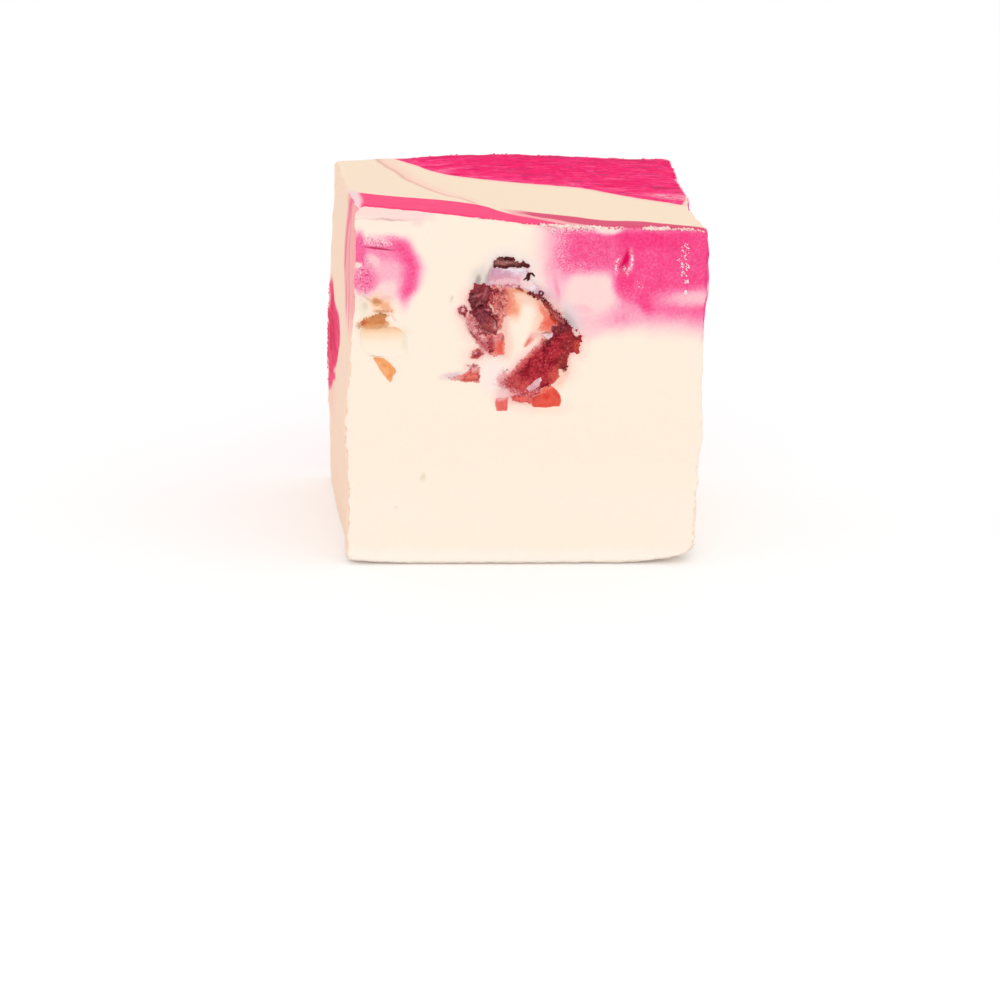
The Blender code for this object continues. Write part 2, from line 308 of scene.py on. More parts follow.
# Soft stains on the front face: screen colour, strength, middle (x, z), reach, turn, softness and,
# where the edge is frayed, how much
frontStains = [
    # grey shade beside the flake and beside the rim
    ((206, 200, 190), 0.55, (-4.5, 29.0), (0.8, 0.9), 15, 0.7),
    ((140, 116, 112), 0.6, (-4.75, 28.65), (0.25, 0.45), 15, 0.7),
    ((176, 150, 158), 0.6, (-3.75, 29.0), (0.2, 1.0), 22, 0.7),
    ((251, 196, 210), 0.5, (2.9, 28.2), (0.8, 1.7), -8, 0.7),
    ((250, 146, 178), 0.7, (2.85, 27.7), (0.22, 1.2), -8, 0.8),
    ((230, 208, 212), 0.75, (4.3, 25.3), (0.7, 1.6), -38, 0.7),
    ((196, 184, 188), 0.6, (4.15, 24.85), (0.35, 1.1), -40, 0.7),
    ((222, 190, 204), 0.6, (1.9, 27.3), (1.3, 0.5), 35, 0.7, 0.8),
    ((206, 160, 178), 0.7, (1.6, 27.25), (0.7, 0.3), 35, 0.6, 1.6),
    # orange and peach inside the curve of the fruit
    ((250, 206, 186), 0.8, (-0.2, 26.95), (1.9, 0.7), 8, 0.6),
    ((250, 196, 164), 0.85, (-1.35, 26.0), (0.85, 1.2), 0, 0.6, 0.5),
    ((246, 150, 118), 0.85, (-1.3, 25.8), (0.45, 0.7), 0, 0.8, 0.7),
    ((240, 132, 112), 0.85, (-1.85, 26.5), (0.55, 1.2), 0, 0.6, 1.4),
    ((236, 150, 110), 0.85, (-1.1, 27.6), (0.9, 0.25), 4, 0.7, 1.0),
    ((222, 140, 96), 0.7, (0.5, 27.25), (1.0, 0.2), 22, 0.7, 0.8),
    ((250, 200, 176), 0.85, (1.6, 25.9), (1.4, 0.6), 50, 0.7),
    ((244, 160, 130), 0.85, (1.75, 25.7), (1.0, 0.4), 55, 0.7, 0.8),
    ((250, 196, 170), 0.85, (1.9, 24.9), (1.0, 1.7), 12, 0.7, 0.5),
    ((240, 132, 106), 0.9, (2.25, 24.55), (0.7, 1.1), 12, 0.7, 1.0),
    ((224, 88, 66), 0.9, (2.6, 24.6), (0.5, 0.85), 25, 0.8, 1.2),
    ((214, 70, 58), 0.8, (2.9, 24.6), (0.3, 0.5), 25, 0.7, 1.2),
    ((240, 128, 112), 0.85, (1.8, 25.35), (0.32, 0.95), -28, 0.5, 1.0),
    ((216, 104, 106), 0.9, (0.9, 17.45), (0.9, 0.4), 0, 0.5, 1.2),
    ((236, 150, 158), 0.8, (-1.0, 17.45), (0.9, 0.35), 0, 0.5, 1.2),
    ((238, 104, 88), 0.85, (2.0, 24.4), (0.5, 0.45), 0, 0.5, 1.0),
    ((240, 124, 110), 0.85, (1.6, 23.95), (0.4, 0.28), 0, 0.5, 1.0),
    ((186, 50, 36), 0.8, (2.55, 24.8), (0.18, 0.5), -35, 0.6, 1.0),
    ((130, 44, 44), 0.8, (2.0, 23.55), (0.45, 0.06), -10, 0.6, 0.8),
    ((70, 40, 40), 0.9, (-2.12, 19.82), (0.2, 0.05), 30, 0.5, 0.4),
    ((70, 40, 40), 0.9, (-2.02, 19.6), (0.2, 0.05), -8, 0.5, 0.4),
    ((238, 150, 134), 0.9, (0.3, 22.8), (0.32, 0.62), 32, 0.6, 1.2),
    ((228, 116, 106), 0.8, (0.2, 22.65), (0.1, 0.5), 32, 0.6, 0.8),
    ((240, 160, 146), 0.8, (0.95, 23.28), (0.65, 0.17), -10, 0.6, 0.8),
    ((246, 196, 184), 0.8, (1.0, 23.3), (0.7, 0.35), 0, 0.7),
    ((250, 208, 190), 0.7, (-1.85, 22.2), (0.5, 1.2), 0, 0.7),
    ((244, 190, 176), 0.7, (-2.2, 24.0), (0.5, 0.9), 0, 0.6, 1.0),
    # pulp spread thin round the left half
    ((232, 160, 164), 0.85, (-5.05, 24.0), (0.45, 1.5), -25, 0.6, 1.6),
    ((206, 104, 112), 0.8, (-4.3, 22.5), (0.4, 0.9), -40, 0.6, 1.8),
    ((240, 176, 176), 0.75, (-3.9, 21.6), (1.0, 0.5), 0, 0.6, 1.4),
    ((240, 180, 184), 0.75, (-6.15, 25.5), (0.6, 0.6), 0, 0.7),
    # pink and lilac round the scraps
    ((250, 232, 228), 0.8, (-3.0, 19.2), (1.4, 1.7), 0, 0.6),
    ((232, 200, 208), 0.7, (-2.0, 17.7), (0.7, 0.9), 0, 0.7),
    ((226, 190, 200), 0.8, (-7.0, 19.2), (1.1, 0.35), -8, 0.7, 0.6),
    ((244, 196, 194), 0.7, (-5.2, 19.9), (0.7, 0.4), 0, 0.8, 1.4),
    ((250, 208, 200), 0.8, (-0.1, 20.9), (0.45, 2.7), 43, 0.8),
    ((232, 130, 128), 0.8, (0.0, 20.85), (0.2, 2.6), 43, 0.7, 0.6),
    ((226, 130, 134), 0.8, (-1.9, 18.7), (0.8, 0.8), 0, 0.6, 1.8),
    ((244, 158, 160), 0.85, (-0.8, 17.45), (0.8, 0.4), 0, 0.7, 1.0),
    ((251, 206, 182), 0.85, (3.45, 18.9), (0.5, 0.9), 20, 0.8),
    ((252, 222, 202), 0.6, (2.4, 16.0), (1.8, 0.6), 0, 0.7),
    ((248, 190, 182), 0.6, (-2.1, 16.9), (0.9, 0.8), 0, 0.7),
    # round the nut
    # painted grey shade to the left of the hollow above the nut
    ((240, 228, 208), 0.8, (-15.8, 26.0), (0.6, 0.8), 0, 0.7),
    ((218, 204, 180), 0.6, (-15.6, 26.1), (0.25, 0.3), 0, 0.7, 1.0),
    ((252, 208, 176), 0.85, (-14.1, 26.2), (1.1, 0.9), 30, 0.6, 0.8),
    ((242, 172, 132), 0.85, (-13.75, 26.05), (0.75, 0.35), 35, 0.6, 1.4),
    ((206, 136, 90), 0.9, (-14.5, 26.5), (0.45, 0.3), 0, 0.6, 1.2),
    ((214, 150, 112), 0.8, (-13.95, 25.55), (0.7, 0.14), 0, 0.6, 1.4),
    ((240, 196, 190), 0.6, (-13.6, 26.85), (0.6, 0.2), 0, 0.7, 1.6),
    ((206, 176, 156), 0.5, (-15.35, 26.75), (0.5, 0.08), 30, 0.6, 1.6),
    ((226, 150, 98), 0.9, (-14.5, 23.9), (1.3, 0.3), 3, 0.6, 0.8),
    ((214, 92, 56), 0.8, (-15.9, 24.25), (0.4, 0.3), 0, 0.6, 1.6),
    # painted shade at the left edge of the hollow that holds the nut's skin
    ((176, 130, 104), 0.7, (-16.2, 24.05), (0.2, 0.2), 0, 0.5, 2.4),
    ((252, 218, 184), 0.8, (-13.9, 23.5), (2.0, 0.5), 0, 0.7),
    ((222, 180, 144), 0.6, (-14.5, 21.1), (0.6, 0.08), 4, 0.6),
    # painted grey-green shade along the right and the left edge of the nut flesh
    ((236, 230, 206), 0.5, (-11.6, 22.6), (0.2, 1.3), -4, 0.8),
    ((232, 224, 208), 0.4, (-16.05, 22.5), (0.1, 0.5), 0, 0.8),
    # painted shade in the pits, and marks along a faint crease
    ((226, 220, 194), 0.7, (-9.8, 8.9), (0.2, 0.42), 15, 0.7),
    ((226, 216, 196), 0.6, (-12.4, 5.9), (0.14, 0.12), 0, 0.6),
    ((220, 212, 186), 0.7, (-7.3, 26.8), (0.1, 0.35), 25, 0.6),
    ((236, 204, 196), 0.7, (-13.6, 34.5), (2.7, 0.13), 0, 0.7, 0.6),
    ((206, 160, 160), 0.5, (-13.2, 34.45), (1.2, 0.07), 3, 0.6, 1.2),
    ((240, 214, 208), 0.6, (-10.6, 34.2), (0.5, 0.4), 0, 0.7),
]


def stained(look, colour, at, stains):
    # lays the stains over the colour, one after the other
    grain = look.noise(look.place, 0.2, 2.0, 0.7) + look.noise(look.place, 0.55, 2.0, 0.5) - 1.0
    for tone, strength, middle, reach, turn, soft, *frayed in stains:
        fray = grain * frayed[0] if frayed else None
        share = look.frontOval(at, middle, reach, turn, soft, fray)
        colour = look.blend(colour, paint(tone), strength * share)
    return colour


def fudgeLook(name):
    return Look(name, fudge["roughness"], fudge["softness"], fudge["shine"])


def pinkRamp(look, value, side):
    light, tones = fudge[side]
    return look.ramp(value, [(place, paint(tone, light)) for place, tone in zip(fudge["rampPlaces"], tones)])


def makeFront():
    look = fudgeLook("fudge_front")
    at = look.warped(look.place, 1.6, 0.25, 3.0)
    at = look.warped(at, 0.35, 0.08, 2.0)
    wx, _, wz = look.split(at)

    def oval(mx, mz, rx, rz, turn=0.0, soft=0.4):
        return look.frontOval(at, (mx, mz), (rx, rz), turn, soft)

    def spots(pinkness, *rows):
        # one oval over the other, each with how pink it is
        for strength, *where in rows:
            pinkness = over(pinkness, strength, oval(*where))
        return pinkness

    # upper right: a soft halo, the large pink, its paler foot and the pale opening in it
    pinkness = 0.2 * oval(2.4, 30.6, 1.9, 5.4, 0, 0.6)
    pinkness = spots(pinkness, (0.4, 2.9, 28.2, 1.0, 2.6, 6, 0.8), (0.34, 6.9, 24.7, 3.4, 1.3, 0, 0.7))
    foot = look.curve(wx, [
        (7.0, 25.6), (9.0, 25.1), (11, 24.9), (12.2, 24.45), (14.5, 24.45), (16, 24.25), (17.8, 23.7),
    ])
    pinkness = over(pinkness, 0.79, look.step(wz - foot, -2.1, 2.3) * look.step(wx, 7.2, 9.9))
    pinkness = over(pinkness, 0.45, 0.7 * oval(9.0, 25.5, 1.9, 1.2, 0, 0.7))
    pinkness = over(pinkness, 0.36, oval(17.0, 27.05, 3.7, 0.85, -2, 0.75))
    beside = look.step(wx, 0.7, 4.3) * look.step(wz, 27.7, 30.7) * look.step(wx, 9.5, 7.5)
    pinkness = over(pinkness, 0.78, beside)
    large = look.step(wx, 7.3, 9.3) * look.step(wz, 27.2, 29.4) * look.step(wx + wz, 36.0, 38.2)
    pinkness = over(pinkness, 0.84, large)
    pinkness = spots(
        pinkness,
        (0.2, 5.9, 27.2, 2.5, 1.9, 0, 0.5),
        (0.3, 5.4, 25.85, 0.9, 0.45, 10, 0.6),
        (0.95, 11.9, 32.7, 3.4, 1.0, 0, 0.8),
        (0.93, 9.4, 28.6, 0.9, 1.1, 10, 0.8),
        (0.86, 11.4, 26.7, 0.55, 1.1, -25, 0.7),
        (0.52, 9.4, 25.15, 1.2, 0.28, -38, 0.7),
        (0.3, 5.3, 23.7, 1.6, 0.9, 0, 0.7),
    )
    pinkness = over(pinkness, 0.66, look.step(wx, 7.5, 9.0) * look.step(wz, 33.1, 33.9))
    pinkness = over(pinkness, 0.5, 0.7 * oval(4.4, 34.1, 2.9, 0.7, 0, 0.6))
    pinkness = over(pinkness, 0.14, oval(7.7, 33.85, 1.45, 0.62, 0, 0.45))

    # upper left: the arch, its legs and the pale middle; the right leg has a curved middle line
    middle = look.curve(wz, [
        (25.4, -11.9), (26.6, -11.75), (27.4, -11.6), (28.2, -11.35), (29.6, -11.2), (30.4, -11.4),
        (31.2, -11.8), (32.0, -12.4), (33.2, -13.4),
    ])
    width = look.curve(wz, [(25.4, 0.7), (26.6, 1.0), (27.6, 1.3), (29, 1.6), (31, 1.7), (33.2, 1.6)])
    pinkness = spots(pinkness, (0.4, -14.1, 29.9, 2.4, 2.5, 0, 0.5), (0.22, -14.0, 27.3, 2.2, 1.1, 0, 0.6))
    bar = look.step(abs(wz - 31.55), 1.75, 0.25)
    bar = bar * look.step(wx, -17.0, -15.8) * look.step(wx, -10.6, -12.0)
    pinkness = over(pinkness, 0.57, bar)
    leg = look.step(abs(wx - middle) / width, 1.1, 0.0)
    leg = leg * look.step(wz, 24.9, 27.8) * look.step(wz, 33.3, 31.6)
    pinkness = over(pinkness, 0.8, leg)
    pinkness = spots(
        pinkness,
        (0.72, -16.25, 31.4, 0.62, 1.9, 0, 0.5),
        (0.67, -15.7, 28.6, 1.25, 1.3, 0, 0.5),
        (0.3, -14.9, 30.5, 0.7, 0.45, 30, 0.6),
        (0.06, -16.4, 30.05, 0.42, 0.3, 0, 0.5),
    )
    pinkness = over(pinkness, 0.17, look.step(wz + 0.06 * wx, 33.3, 34.1) * look.step(wx, -8.0, -10.5))
    pinkness = over(pinkness, 0.03, oval(-13.6, 33.9, 2.6, 0.5, 0, 0.5))

    grain = look.noise(look.place, 0.26, 3.0, 0.7)
    cloud = look.noise(look.place, 1.7, 2.0, 0.5)
    uneven = pinkness + (grain - 0.5) * 0.62 * pinkness + (cloud - 0.5) * 0.2 * pinkness
    # dry pale specks where the knife dragged, and dark ones beside them
    specks = look.noise(look.place, 0.16, 2.0, 0.5)
    for mx, mz, rx, rz, pale in fudge["dry"]:
        area = oval(mx, mz, rx, rz, 0, 0.5)
        uneven = over(uneven, pale, 0.85 * area * look.step(specks, 0.5, 0.66))
    colour = pinkRamp(look, uneven, "front")
    for tone, strength, where, span in frontGrains:
        share = strength * oval(*where)
        if span:
            share = share * look.step(specks, *span)
        colour = look.blend(colour, paint(tone), share)
    crack = look.frontOval(look.place, (-14.35, 31.62), (1.35, 0.085), 6.0, 0.5)
    colour = look.blend(colour, paint((196, 30, 92)), 0.85 * crack)
    # the fudge takes on colour from the fruit and the nut around them; above the fruit the halo turns
    # grey-lilac, and that part is painted shade
    apart = look.field("toFruit") + (grain - 0.5) * 0.9
    high = look.step(wz, 27.6, 28.8)
    halo = look.blend(paint((250, 214, 204)), paint((240, 226, 222)), high)
    colour = look.blend(colour, halo, 0.6 * look.step(apart, 1.5, 0.1))
    halo = look.blend(paint((238, 156, 146)), paint((220, 196, 200)), high)
    colour = look.blend(colour, halo, 0.5 * look.step(apart, 0.45, -0.15))
    apart = look.field("toNut") + (grain - 0.5) * 0.6
    colour = look.blend(colour, paint((250, 212, 176)), 0.7 * look.step(apart, 0.5, -0.1))
    colour = stained(look, colour, at, frontStains)
    # painted light: paler towards the foot and palest along the bottom edge, a glow from below with a
    # highlight on the edge; and the pink darkest along the right edge
    colour = look.blend(colour, paint((255, 243, 228)), 0.5 * look.step(wz, 13.0, 4.0))
    colour = look.blend(colour, paint((255, 247, 236)), 0.8 * look.step(wz + cloud, 3.0, 1.0))
    border = 0.5 * look.step(wx, 17.0, 17.45) * look.step(wz, 25.5, 29.0)
    colour = look.blend(colour, paint((206, 44, 110)), border)
    look.colour(colour)
    look.bump(grain, 0.02)
    return look.material


def makeTop():
    look = fudgeLook("fudge_top")
    at = look.warped(look.place, 2.2, 0.2, 3.0)
    wx, wy, _ = look.split(at)

    def tint(under, tone, share):
        return look.blend(under, paint(tone, fudge["top"][0]), share)

    edge = look.curve(wx, [
        (-11.9, 17.6), (-11.4, 15.4), (-10.6, 13.4), (-9.5, 11.3), (-8.7, 9.2), (-7.7, 7.4), (-6.4, 5.9),
        (-5, 4.8), (-3, 3.8), (-1, 2.9), (2, 1.9), (5, 1.1), (7, 0.4), (9, -1.2), (11, -2.9), (13, -4.2),
        (15, -5.3), (16.5, -6.0), (18, -6.2),
    ])
    side = look.curve(wy, [(-6, 16.3), (-4.2, 16.7), (-2.5, 17.0), (0.5, 17.5), (3, 18.0), (6, 18.6)])
    # the large pink has long torn streaks, deepest towards the back
    drift = look.warped(look.place, 3.0, 0.5, 2.0)
    streaks = look.noise(look.stretched(drift, (4.0, 1.3, 4.0)), 1.0, 4.0, 0.68)
    specks = look.noise(look.stretched(look.place, (0.9, 0.6, 0.9)), 1.0, 3.0, 0.7)
    cloud = look.noise(look.place, 4.0, 2.0, 0.5)
    deep = 0.96 + 0.06 * look.blob(look.place, (0.0, 10.0, 0.0), (9.0, 6.0, through), 10, 0.8)
    deep = deep - 0.14 * look.step(wy - edge, 5.0, 0.5)
    deep = deep + (streaks - 0.5) * 1.6 + (specks - 0.5) * 0.7 + (cloud - 0.5) * 0.3
    pale = look.blob(at, (15.6, -0.6, 0.0), (2.0, 2.6, through), -20, 0.7)
    deep = deep - 0.22 * pale * look.step(streaks, 0.4, 0.6)
    rim = look.step(wy + 0.02 * wx, 15.1, 16.3) * look.step(specks, 0.42, 0.58)
    deep = over(deep, 0.5, rim)
    band = look.step(wy - edge, -0.35, 0.35) * look.step(wx - side, 0.15, -0.25)
    pinkness = 0.12 * look.step(wy - edge, -1.3, 0.0) * look.step(wx, -13.5, -11)
    pinkness = over(pinkness, deep, band)

    # a thin brownish line that curves to the back left, with faint pink to the right of it
    vein = look.curve(wy, [
        (-10.6, -3.9), (-9.8, -4.6), (-8.5, -5.3), (-7.3, -6.3), (-6.3, -7.3), (-5, -8.1), (-3.5, -8.8),
        (-2, -9.3), (-0.5, -9.8), (1, -10.3), (3, -10.9), (5.5, -11.3), (8, -11.8), (10, -12.3),
        (12, -12.75), (14, -13.1), (16.6, -13.4),
    ])
    away = wx - vein
    beside = look.step(away, -0.4, 0.1) * look.step(away, 2.4, 0.2) * look.step(wy, -9.5, -7)
    pinkness = over(pinkness, 0.15, beside)
    line = look.step(abs(away), 0.42, 0.05) * look.step(wy, -10.4, -9.6)

    # a pink stripe along the front's left half, a darker one on the right, faint pink between them
    rear = look.curve(wx, [
        (-17, -7.1), (-15.8, -7.8), (-14, -8.5), (-12, -9.0), (-9, -9.1), (-7, -9.4), (-5, -9.9),
        (-4, -10.4), (-3, -11.5), (-2, -12.6), (-1, -13.4), (0, -13.8), (1, -14.3), (2, -15.0),
        (3, -15.7), (5, -17),
    ])
    upper = look.curve(wx, [
        (-1.5, -11.1), (-0.5, -11.4), (1, -11.9), (3, -12.4), (5, -13.1), (6.8, -14.0), (8, -14.4),
        (11, -14.5), (13, -15.1), (15, -15.6), (17.5, -16.2),
    ])
    lower = look.curve(wx, [
        (-1.5, -11.6), (0, -12.4), (1, -13.0), (3, -14.0), (4, -14.8), (5, -15.4), (6, -16.0), (7, -17),
        (17.5, -17),
    ])
    between = look.step(upper - wy, -0.4, 0.3) * look.step(wy - rear, -0.2, 0.2) * look.step(wx, -2.6, -1.0)
    pinkness = over(pinkness, 0.4, between)
    second = look.step(upper - wy, -0.6, -0.1) * look.step(wy - lower, -0.5, -0.1) * look.step(wx, -1.4, 0.8)
    stripe = look.step(rear - wy, -0.25, 0.25) * look.step(wx, -16.3, -15.9)
    colour = pinkRamp(look, over(pinkness, 0.79 + (streaks - 0.5) * 0.2, stripe), "top")
    colour = tint(colour, (232, 176, 162), 0.75 * line)
    colour = tint(colour, (222, 84, 118), second)
    dark = look.step(streaks, 0.47, 0.36) * look.step(wx, -8.0, 4.0)
    dark = over(dark, 0.9, look.step(wy, 13.4, 15.4) * look.step(specks, 0.54, 0.42))
    colour = tint(colour, (200, 0, 80), 0.85 * band * dark)
    colour = tint(colour, (255, 104, 156), 0.5 * band * look.step(streaks, 0.56, 0.68))
    fine = look.noise(look.stretched(drift, (1.8, 0.55, 1.8)), 1.0, 3.0, 0.7)
    colour = tint(colour, (206, 0, 80), 0.7 * band * look.step(fine, 0.44, 0.36))
    colour = tint(colour, (255, 110, 160), 0.4 * band * look.step(fine, 0.58, 0.68))
    colour = tint(colour, (250, 82, 122), 0.6 * stripe)
    smear = look.blob(at, (15.9, -2.4, 0.0), (2.6, 1.2, through), -12, 0.6)
    colour = tint(colour, (252, 176, 190), 0.8 * band * smear * look.step(specks, 0.42, 0.56))
    corner = look.blob(at, (-16.7, -12.0, 0.0), (0.8, 5.5, through), 0, 0.4)
    colour = tint(colour, (246, 206, 216), 0.85 * corner)
    look.colour(colour)
    look.bump(specks, 0.015)
    return look.material


def makeLeft():
    look = fudgeLook("fudge_left")
    at = look.warped(look.place, 2.4, 0.35, 3.0)
    _, wy, wz = look.split(at)
    streaks = look.noise(look.stretched(look.place, (5.0, 4.0, 0.6)), 1.0, 3.0, 0.6)
    # two pink lines in a paler wedge near the front edge
    border = look.curve(wz, [
        (21.5, -14), (23, -8.5), (25, -5.8), (26.5, -4), (28, -2.8), (30, -3.3), (32, -5), (34, -7), (36, -8),
    ])
    pinkness = 0.32 * (look.step(border - wy, -1.0, 0.8) * look.step(wz, 21.5, 26.0))
    first = look.curve(wz, [
        (27, -4.8), (28, -5.0), (29, -5.4), (30.5, -6.2), (32, -7.6), (33.5, -9.6), (34.5, -10.8),
        (36, -12.6),
    ])
    pinkness = over(pinkness, 0.62, look.step(abs(wy - first), 1.8, 0.3) * look.step(wz, 26.6, 28.5))
    inner = look.curve(wz, [(22, -12), (25.5, -12), (29, -10.8), (30, -10.7), (32, -11.7), (36, -13)])
    pinkness = over(pinkness, 0.52, look.step(abs(wy - inner), 1.1, 0.2) * look.step(wz, 21.5, 24))
    pinkness = over(pinkness, 0.45, look.blob(at, (0.0, -7.5, 25.0), (through, 1.3, 2.0), -20, 0.6))
    # the pink patch at the back, between its upper and its lower border
    roof = look.curve(wy, [
        (-1, 19.4), (1, 20.5), (2, 20.9), (4, 21.0), (7, 21.2), (9, 21.8), (10.5, 22.4), (12.5, 22.8),
        (14, 22.2), (17, 21.3),
    ])
    base = look.curve(wy, [
        (-1, 19.0), (1, 17.8), (2, 16.9), (3.5, 15.6), (5, 14.9), (6.5, 14.4), (7.5, 13.5), (8, 12.6),
        (12, 11.0), (17, 9.8),
    ])
    patch = look.step(roof - wz, -0.45, 0.45) * look.step(wz - base, -0.45, 0.45) * look.step(wy, -1.4, 1.2)
    pinkness = over(pinkness, 0.14, look.step(wy, 2, 12) * look.step(wz, 7, 12) * look.step(wz, 24, 20))
    core = look.blob(look.place, (0.0, 10.0, 18.0), (through, 5.0, 3.5), 0, 0.8)
    pinkness = over(pinkness, 0.82 + 0.14 * core + (streaks - 0.5) * 0.5, patch)
    # pale streaks dragged through the pink near the back edge
    drag = look.noise(look.stretched(look.place, (5.0, 5.0, 0.45)), 1.0, 2.0, 0.5)
    pinkness = over(pinkness, 0.15, 0.9 * patch * look.step(wy, 11.5, 14.5) * look.step(drag, 0.5, 0.6))
    # a pink line below the patch
    tail = look.curve(wy, [(4, 14.3), (8, 13.2), (12, 11.9), (17, 10.8)])
    pinkness = over(pinkness, 0.8, look.step(abs(wz - tail), 0.7, 0.2) * look.step(wy, 4, 6))
    colour = pinkRamp(look, pinkness, "side")
    shade = look.step(abs(wy - first), 1.0, 0.2) * look.step(wz, 27.0, 28.5) * look.step(wz, 33.0, 31.0)
    shade = 0.6 * shade * look.step(streaks, 0.4, 0.6)
    colour = look.blend(colour, paint((206, 120, 130), fudge["side"][0]), shade)
    look.colour(colour)
    look.bump(look.noise(look.place, 0.5, 3.0, 0.6), 0.02)
    return look.material


# Bands of pink, with their lower and upper border; they meet the pink of the sides next to them
hidden = {
    "streaks": (4.0, 4.0, 0.7),
    "right": {
        "along": "y",
        "swirl": 5.0,
        "drift": 0.6,
        "bands": [
            {
                "pink": 0.22,
                "low": [(-17, 22.6), (-9, 20.8), (0, 23.0), (9, 20.6), (17, 23.0)],
                "high": [(-17, 26.0), (0, 27.0), (17, 26.5)],
            },
            {
                "pink": 0.8,
                "low": [(-17, 24.2), (-9, 22.9), (0, 25.6), (9, 23.2), (17, 25.2)],
                "high": [(-17, 34.1), (-10, 33.6), (-6.5, 36.5), (17, 36.6)],
            },
            {
                "pink": 0.35,
                "low": [(-17, 27.4), (-9, 26.6), (0, 29.4), (17, 28.0)],
                "high": [(-17, 28.5), (-9, 27.6), (0, 29.9), (17, 28.4)],
            },
        ],
    },
    "back": {
        "along": "x",
        "swirl": 6.0,
        "drift": 0.8,
        "bands": [
            {
                "pink": 0.2,
                "low": [(-18, 8.6), (-8, 5.0), (0, 7.0), (9, 13.6), (18, 23.2)],
                "high": [(-18, 20.0), (0, 21.0), (18, 30.0)],
            },
            {
                "pink": 0.84,
                "low": [(-18, 10.0), (-8, 6.6), (0, 8.6), (9, 15.4), (18, 25.0)],
                "high": [(-18, 21.8), (-14, 25.0), (-11, 30.5), (-9.5, 36.5), (18, 36.6)],
            },
            {
                "pink": 0.2,
                "low": [(-18, 17.0), (-8, 20.4), (0, 20.0), (9, 24.0), (18, 29.4)],
                "high": [(-18, 17.4), (-8, 22.2), (0, 21.4), (9, 25.2), (18, 29.8)],
            },
        ],
    },
    "base": {
        "along": "x",
        "swirl": 8.0,
        "drift": 1.8,
        "bands": [{"pink": 0.1, "low": [(-18, 29.0), (18, 28.5)], "high": [(-18, 31.0), (18, 30.5)]}],
    },
}


def makeHidden(name, side):
    # a side that the photo doesn't show: soft bands of pink and cream that drift along it
    look = fudgeLook(name)
    at = look.warped(look.place, side["swirl"], side["drift"], 3.0)
    at = look.warped(at, 1.6, 0.3, 3.0)
    wx, wy, wz = look.split(at)
    streaks = look.noise(look.stretched(at, hidden["streaks"]), 1.0, 3.0, 0.6)
    along = wx if side["along"] == "x" else wy
    pinkness = 0.0 * look.x  # plain cream to begin with
    for band in side["bands"]:
        low, high = look.curve(along, band["low"]), look.curve(along, band["high"])
        inside = look.step(wz - low, -0.5, 0.5) * look.step(high - wz, -0.5, 0.5)
        pinkness = over(pinkness, band["pink"], inside)
    pinkness = pinkness + (streaks - 0.5) * 0.45 * pinkness
    colour = pinkRamp(look, pinkness, "front")
    look.colour(colour)
    look.bump(look.noise(look.place, 0.5, 3.0, 0.6), 0.02)
    return look.material


# The block

block = {
    "width": 34.8,
    "depth": 33.0,
    "height": 35.0,
    "edgeRadius": 0.4,
    "cornerShift": {
        (-1, -1, 0): (0.15, 0.0, 0.0),
        (1, -1, 0): (-0.05, 0.0, 0.0),
        (-1, 1, 0): (-0.55, 0.1, 0.0),
        (1, 1, 0): (0.2, 0.0, 0.0),
        (-1, -1, 1): (0.65, 0.1, 0.9),
        (1, -1, 1): (0.05, -0.1, -1.25),
        (-1, 1, 1): (-0.4, 0.0, -0.45),
        (1, 1, 1): (0.5, -0.1, 0.1),
    },
    "cornerWear": {
        (-1, -1, 1): 1.3,
        (1, -1, 1): 0.9,
        (-1, 1, 1): 1.1,
        (1, 1, 1): 0.6,
        (-1, -1, 0): 0.9,
        (1, -1, 0): 1.7,
        (-1, 1, 0): 1.0,
        (1, 1, 0): 1.0,
    },
    # swells and dents: where along and up the side, how high, how far they reach
    "leftSwells": [
        ((-16.5, 14.9), 0.55, (9.0, 4.4)),
        ((16.5, 16.0), 0.58, (13.0, 10.0)),
        ((-7.0, 0.8), -0.3, (6.0, 3.0)),
    ],
    "rightSwells": [
        ((-16.5, 29.6), 0.3, (8.0, 2.8)),
        ((-16.5, 14.3), 0.3, (8.0, 2.4)),
        ((-8.5, 34.2), -0.75, (5.0, 5.0)),
        ((4.0, 34.2), -0.38, (5.0, 5.0)),
    ],
    "topSwells": [((-0.8, 16.5), 0.7, (12.0, 9.0)), ((1.0, -16.5), -0.6, (9.0, 8.0))],
    # the front corners of the base curl up: side, start, lift, power
    "baseCurls": [(1, 9.0, 1.1, 2.2), (-1, 11.5, 0.35, 1.5)],
    "curlDepth": 9.0,
    "curlHeight": 5.0,
    # the whole front edge of the base lifts a little; less than the last number is none
    "frontLift": 0.12,
    "leastLift": 0.03,
    # waves of the edges, and the finer crumbs torn from them: height, size, reach from the edge
    "crumbHeight": 0.22,
    "crumbPitch": 1.5,
    "crumbReach": 0.8,
    "tearHeight": 0.11,
    "tearReach": 0.3,
    # sizes of the grid: near the edges, how far that goes, and on the sides
    "edgeStep": 0.14,
    "edgeZone": 1.6,
    "faceStep": 0.46,
}


def noiseAt(points, pitch, shift=0.0):
    return np.array([noise.noise(Vector(point)) for point in points / pitch + shift])


def spread(low, high):
    # places along an edge of the block, closer together near both ends
    zone, fine = block["edgeZone"], block["edgeStep"]
    ends = np.arange(0, zone, fine)
    count = max(2, round((high - low - 2 * zone) / block["faceStep"]))
    middle = np.linspace(low + zone, high - zone, count + 1)
    return np.concatenate([low + ends, middle, high - ends[::-1]])


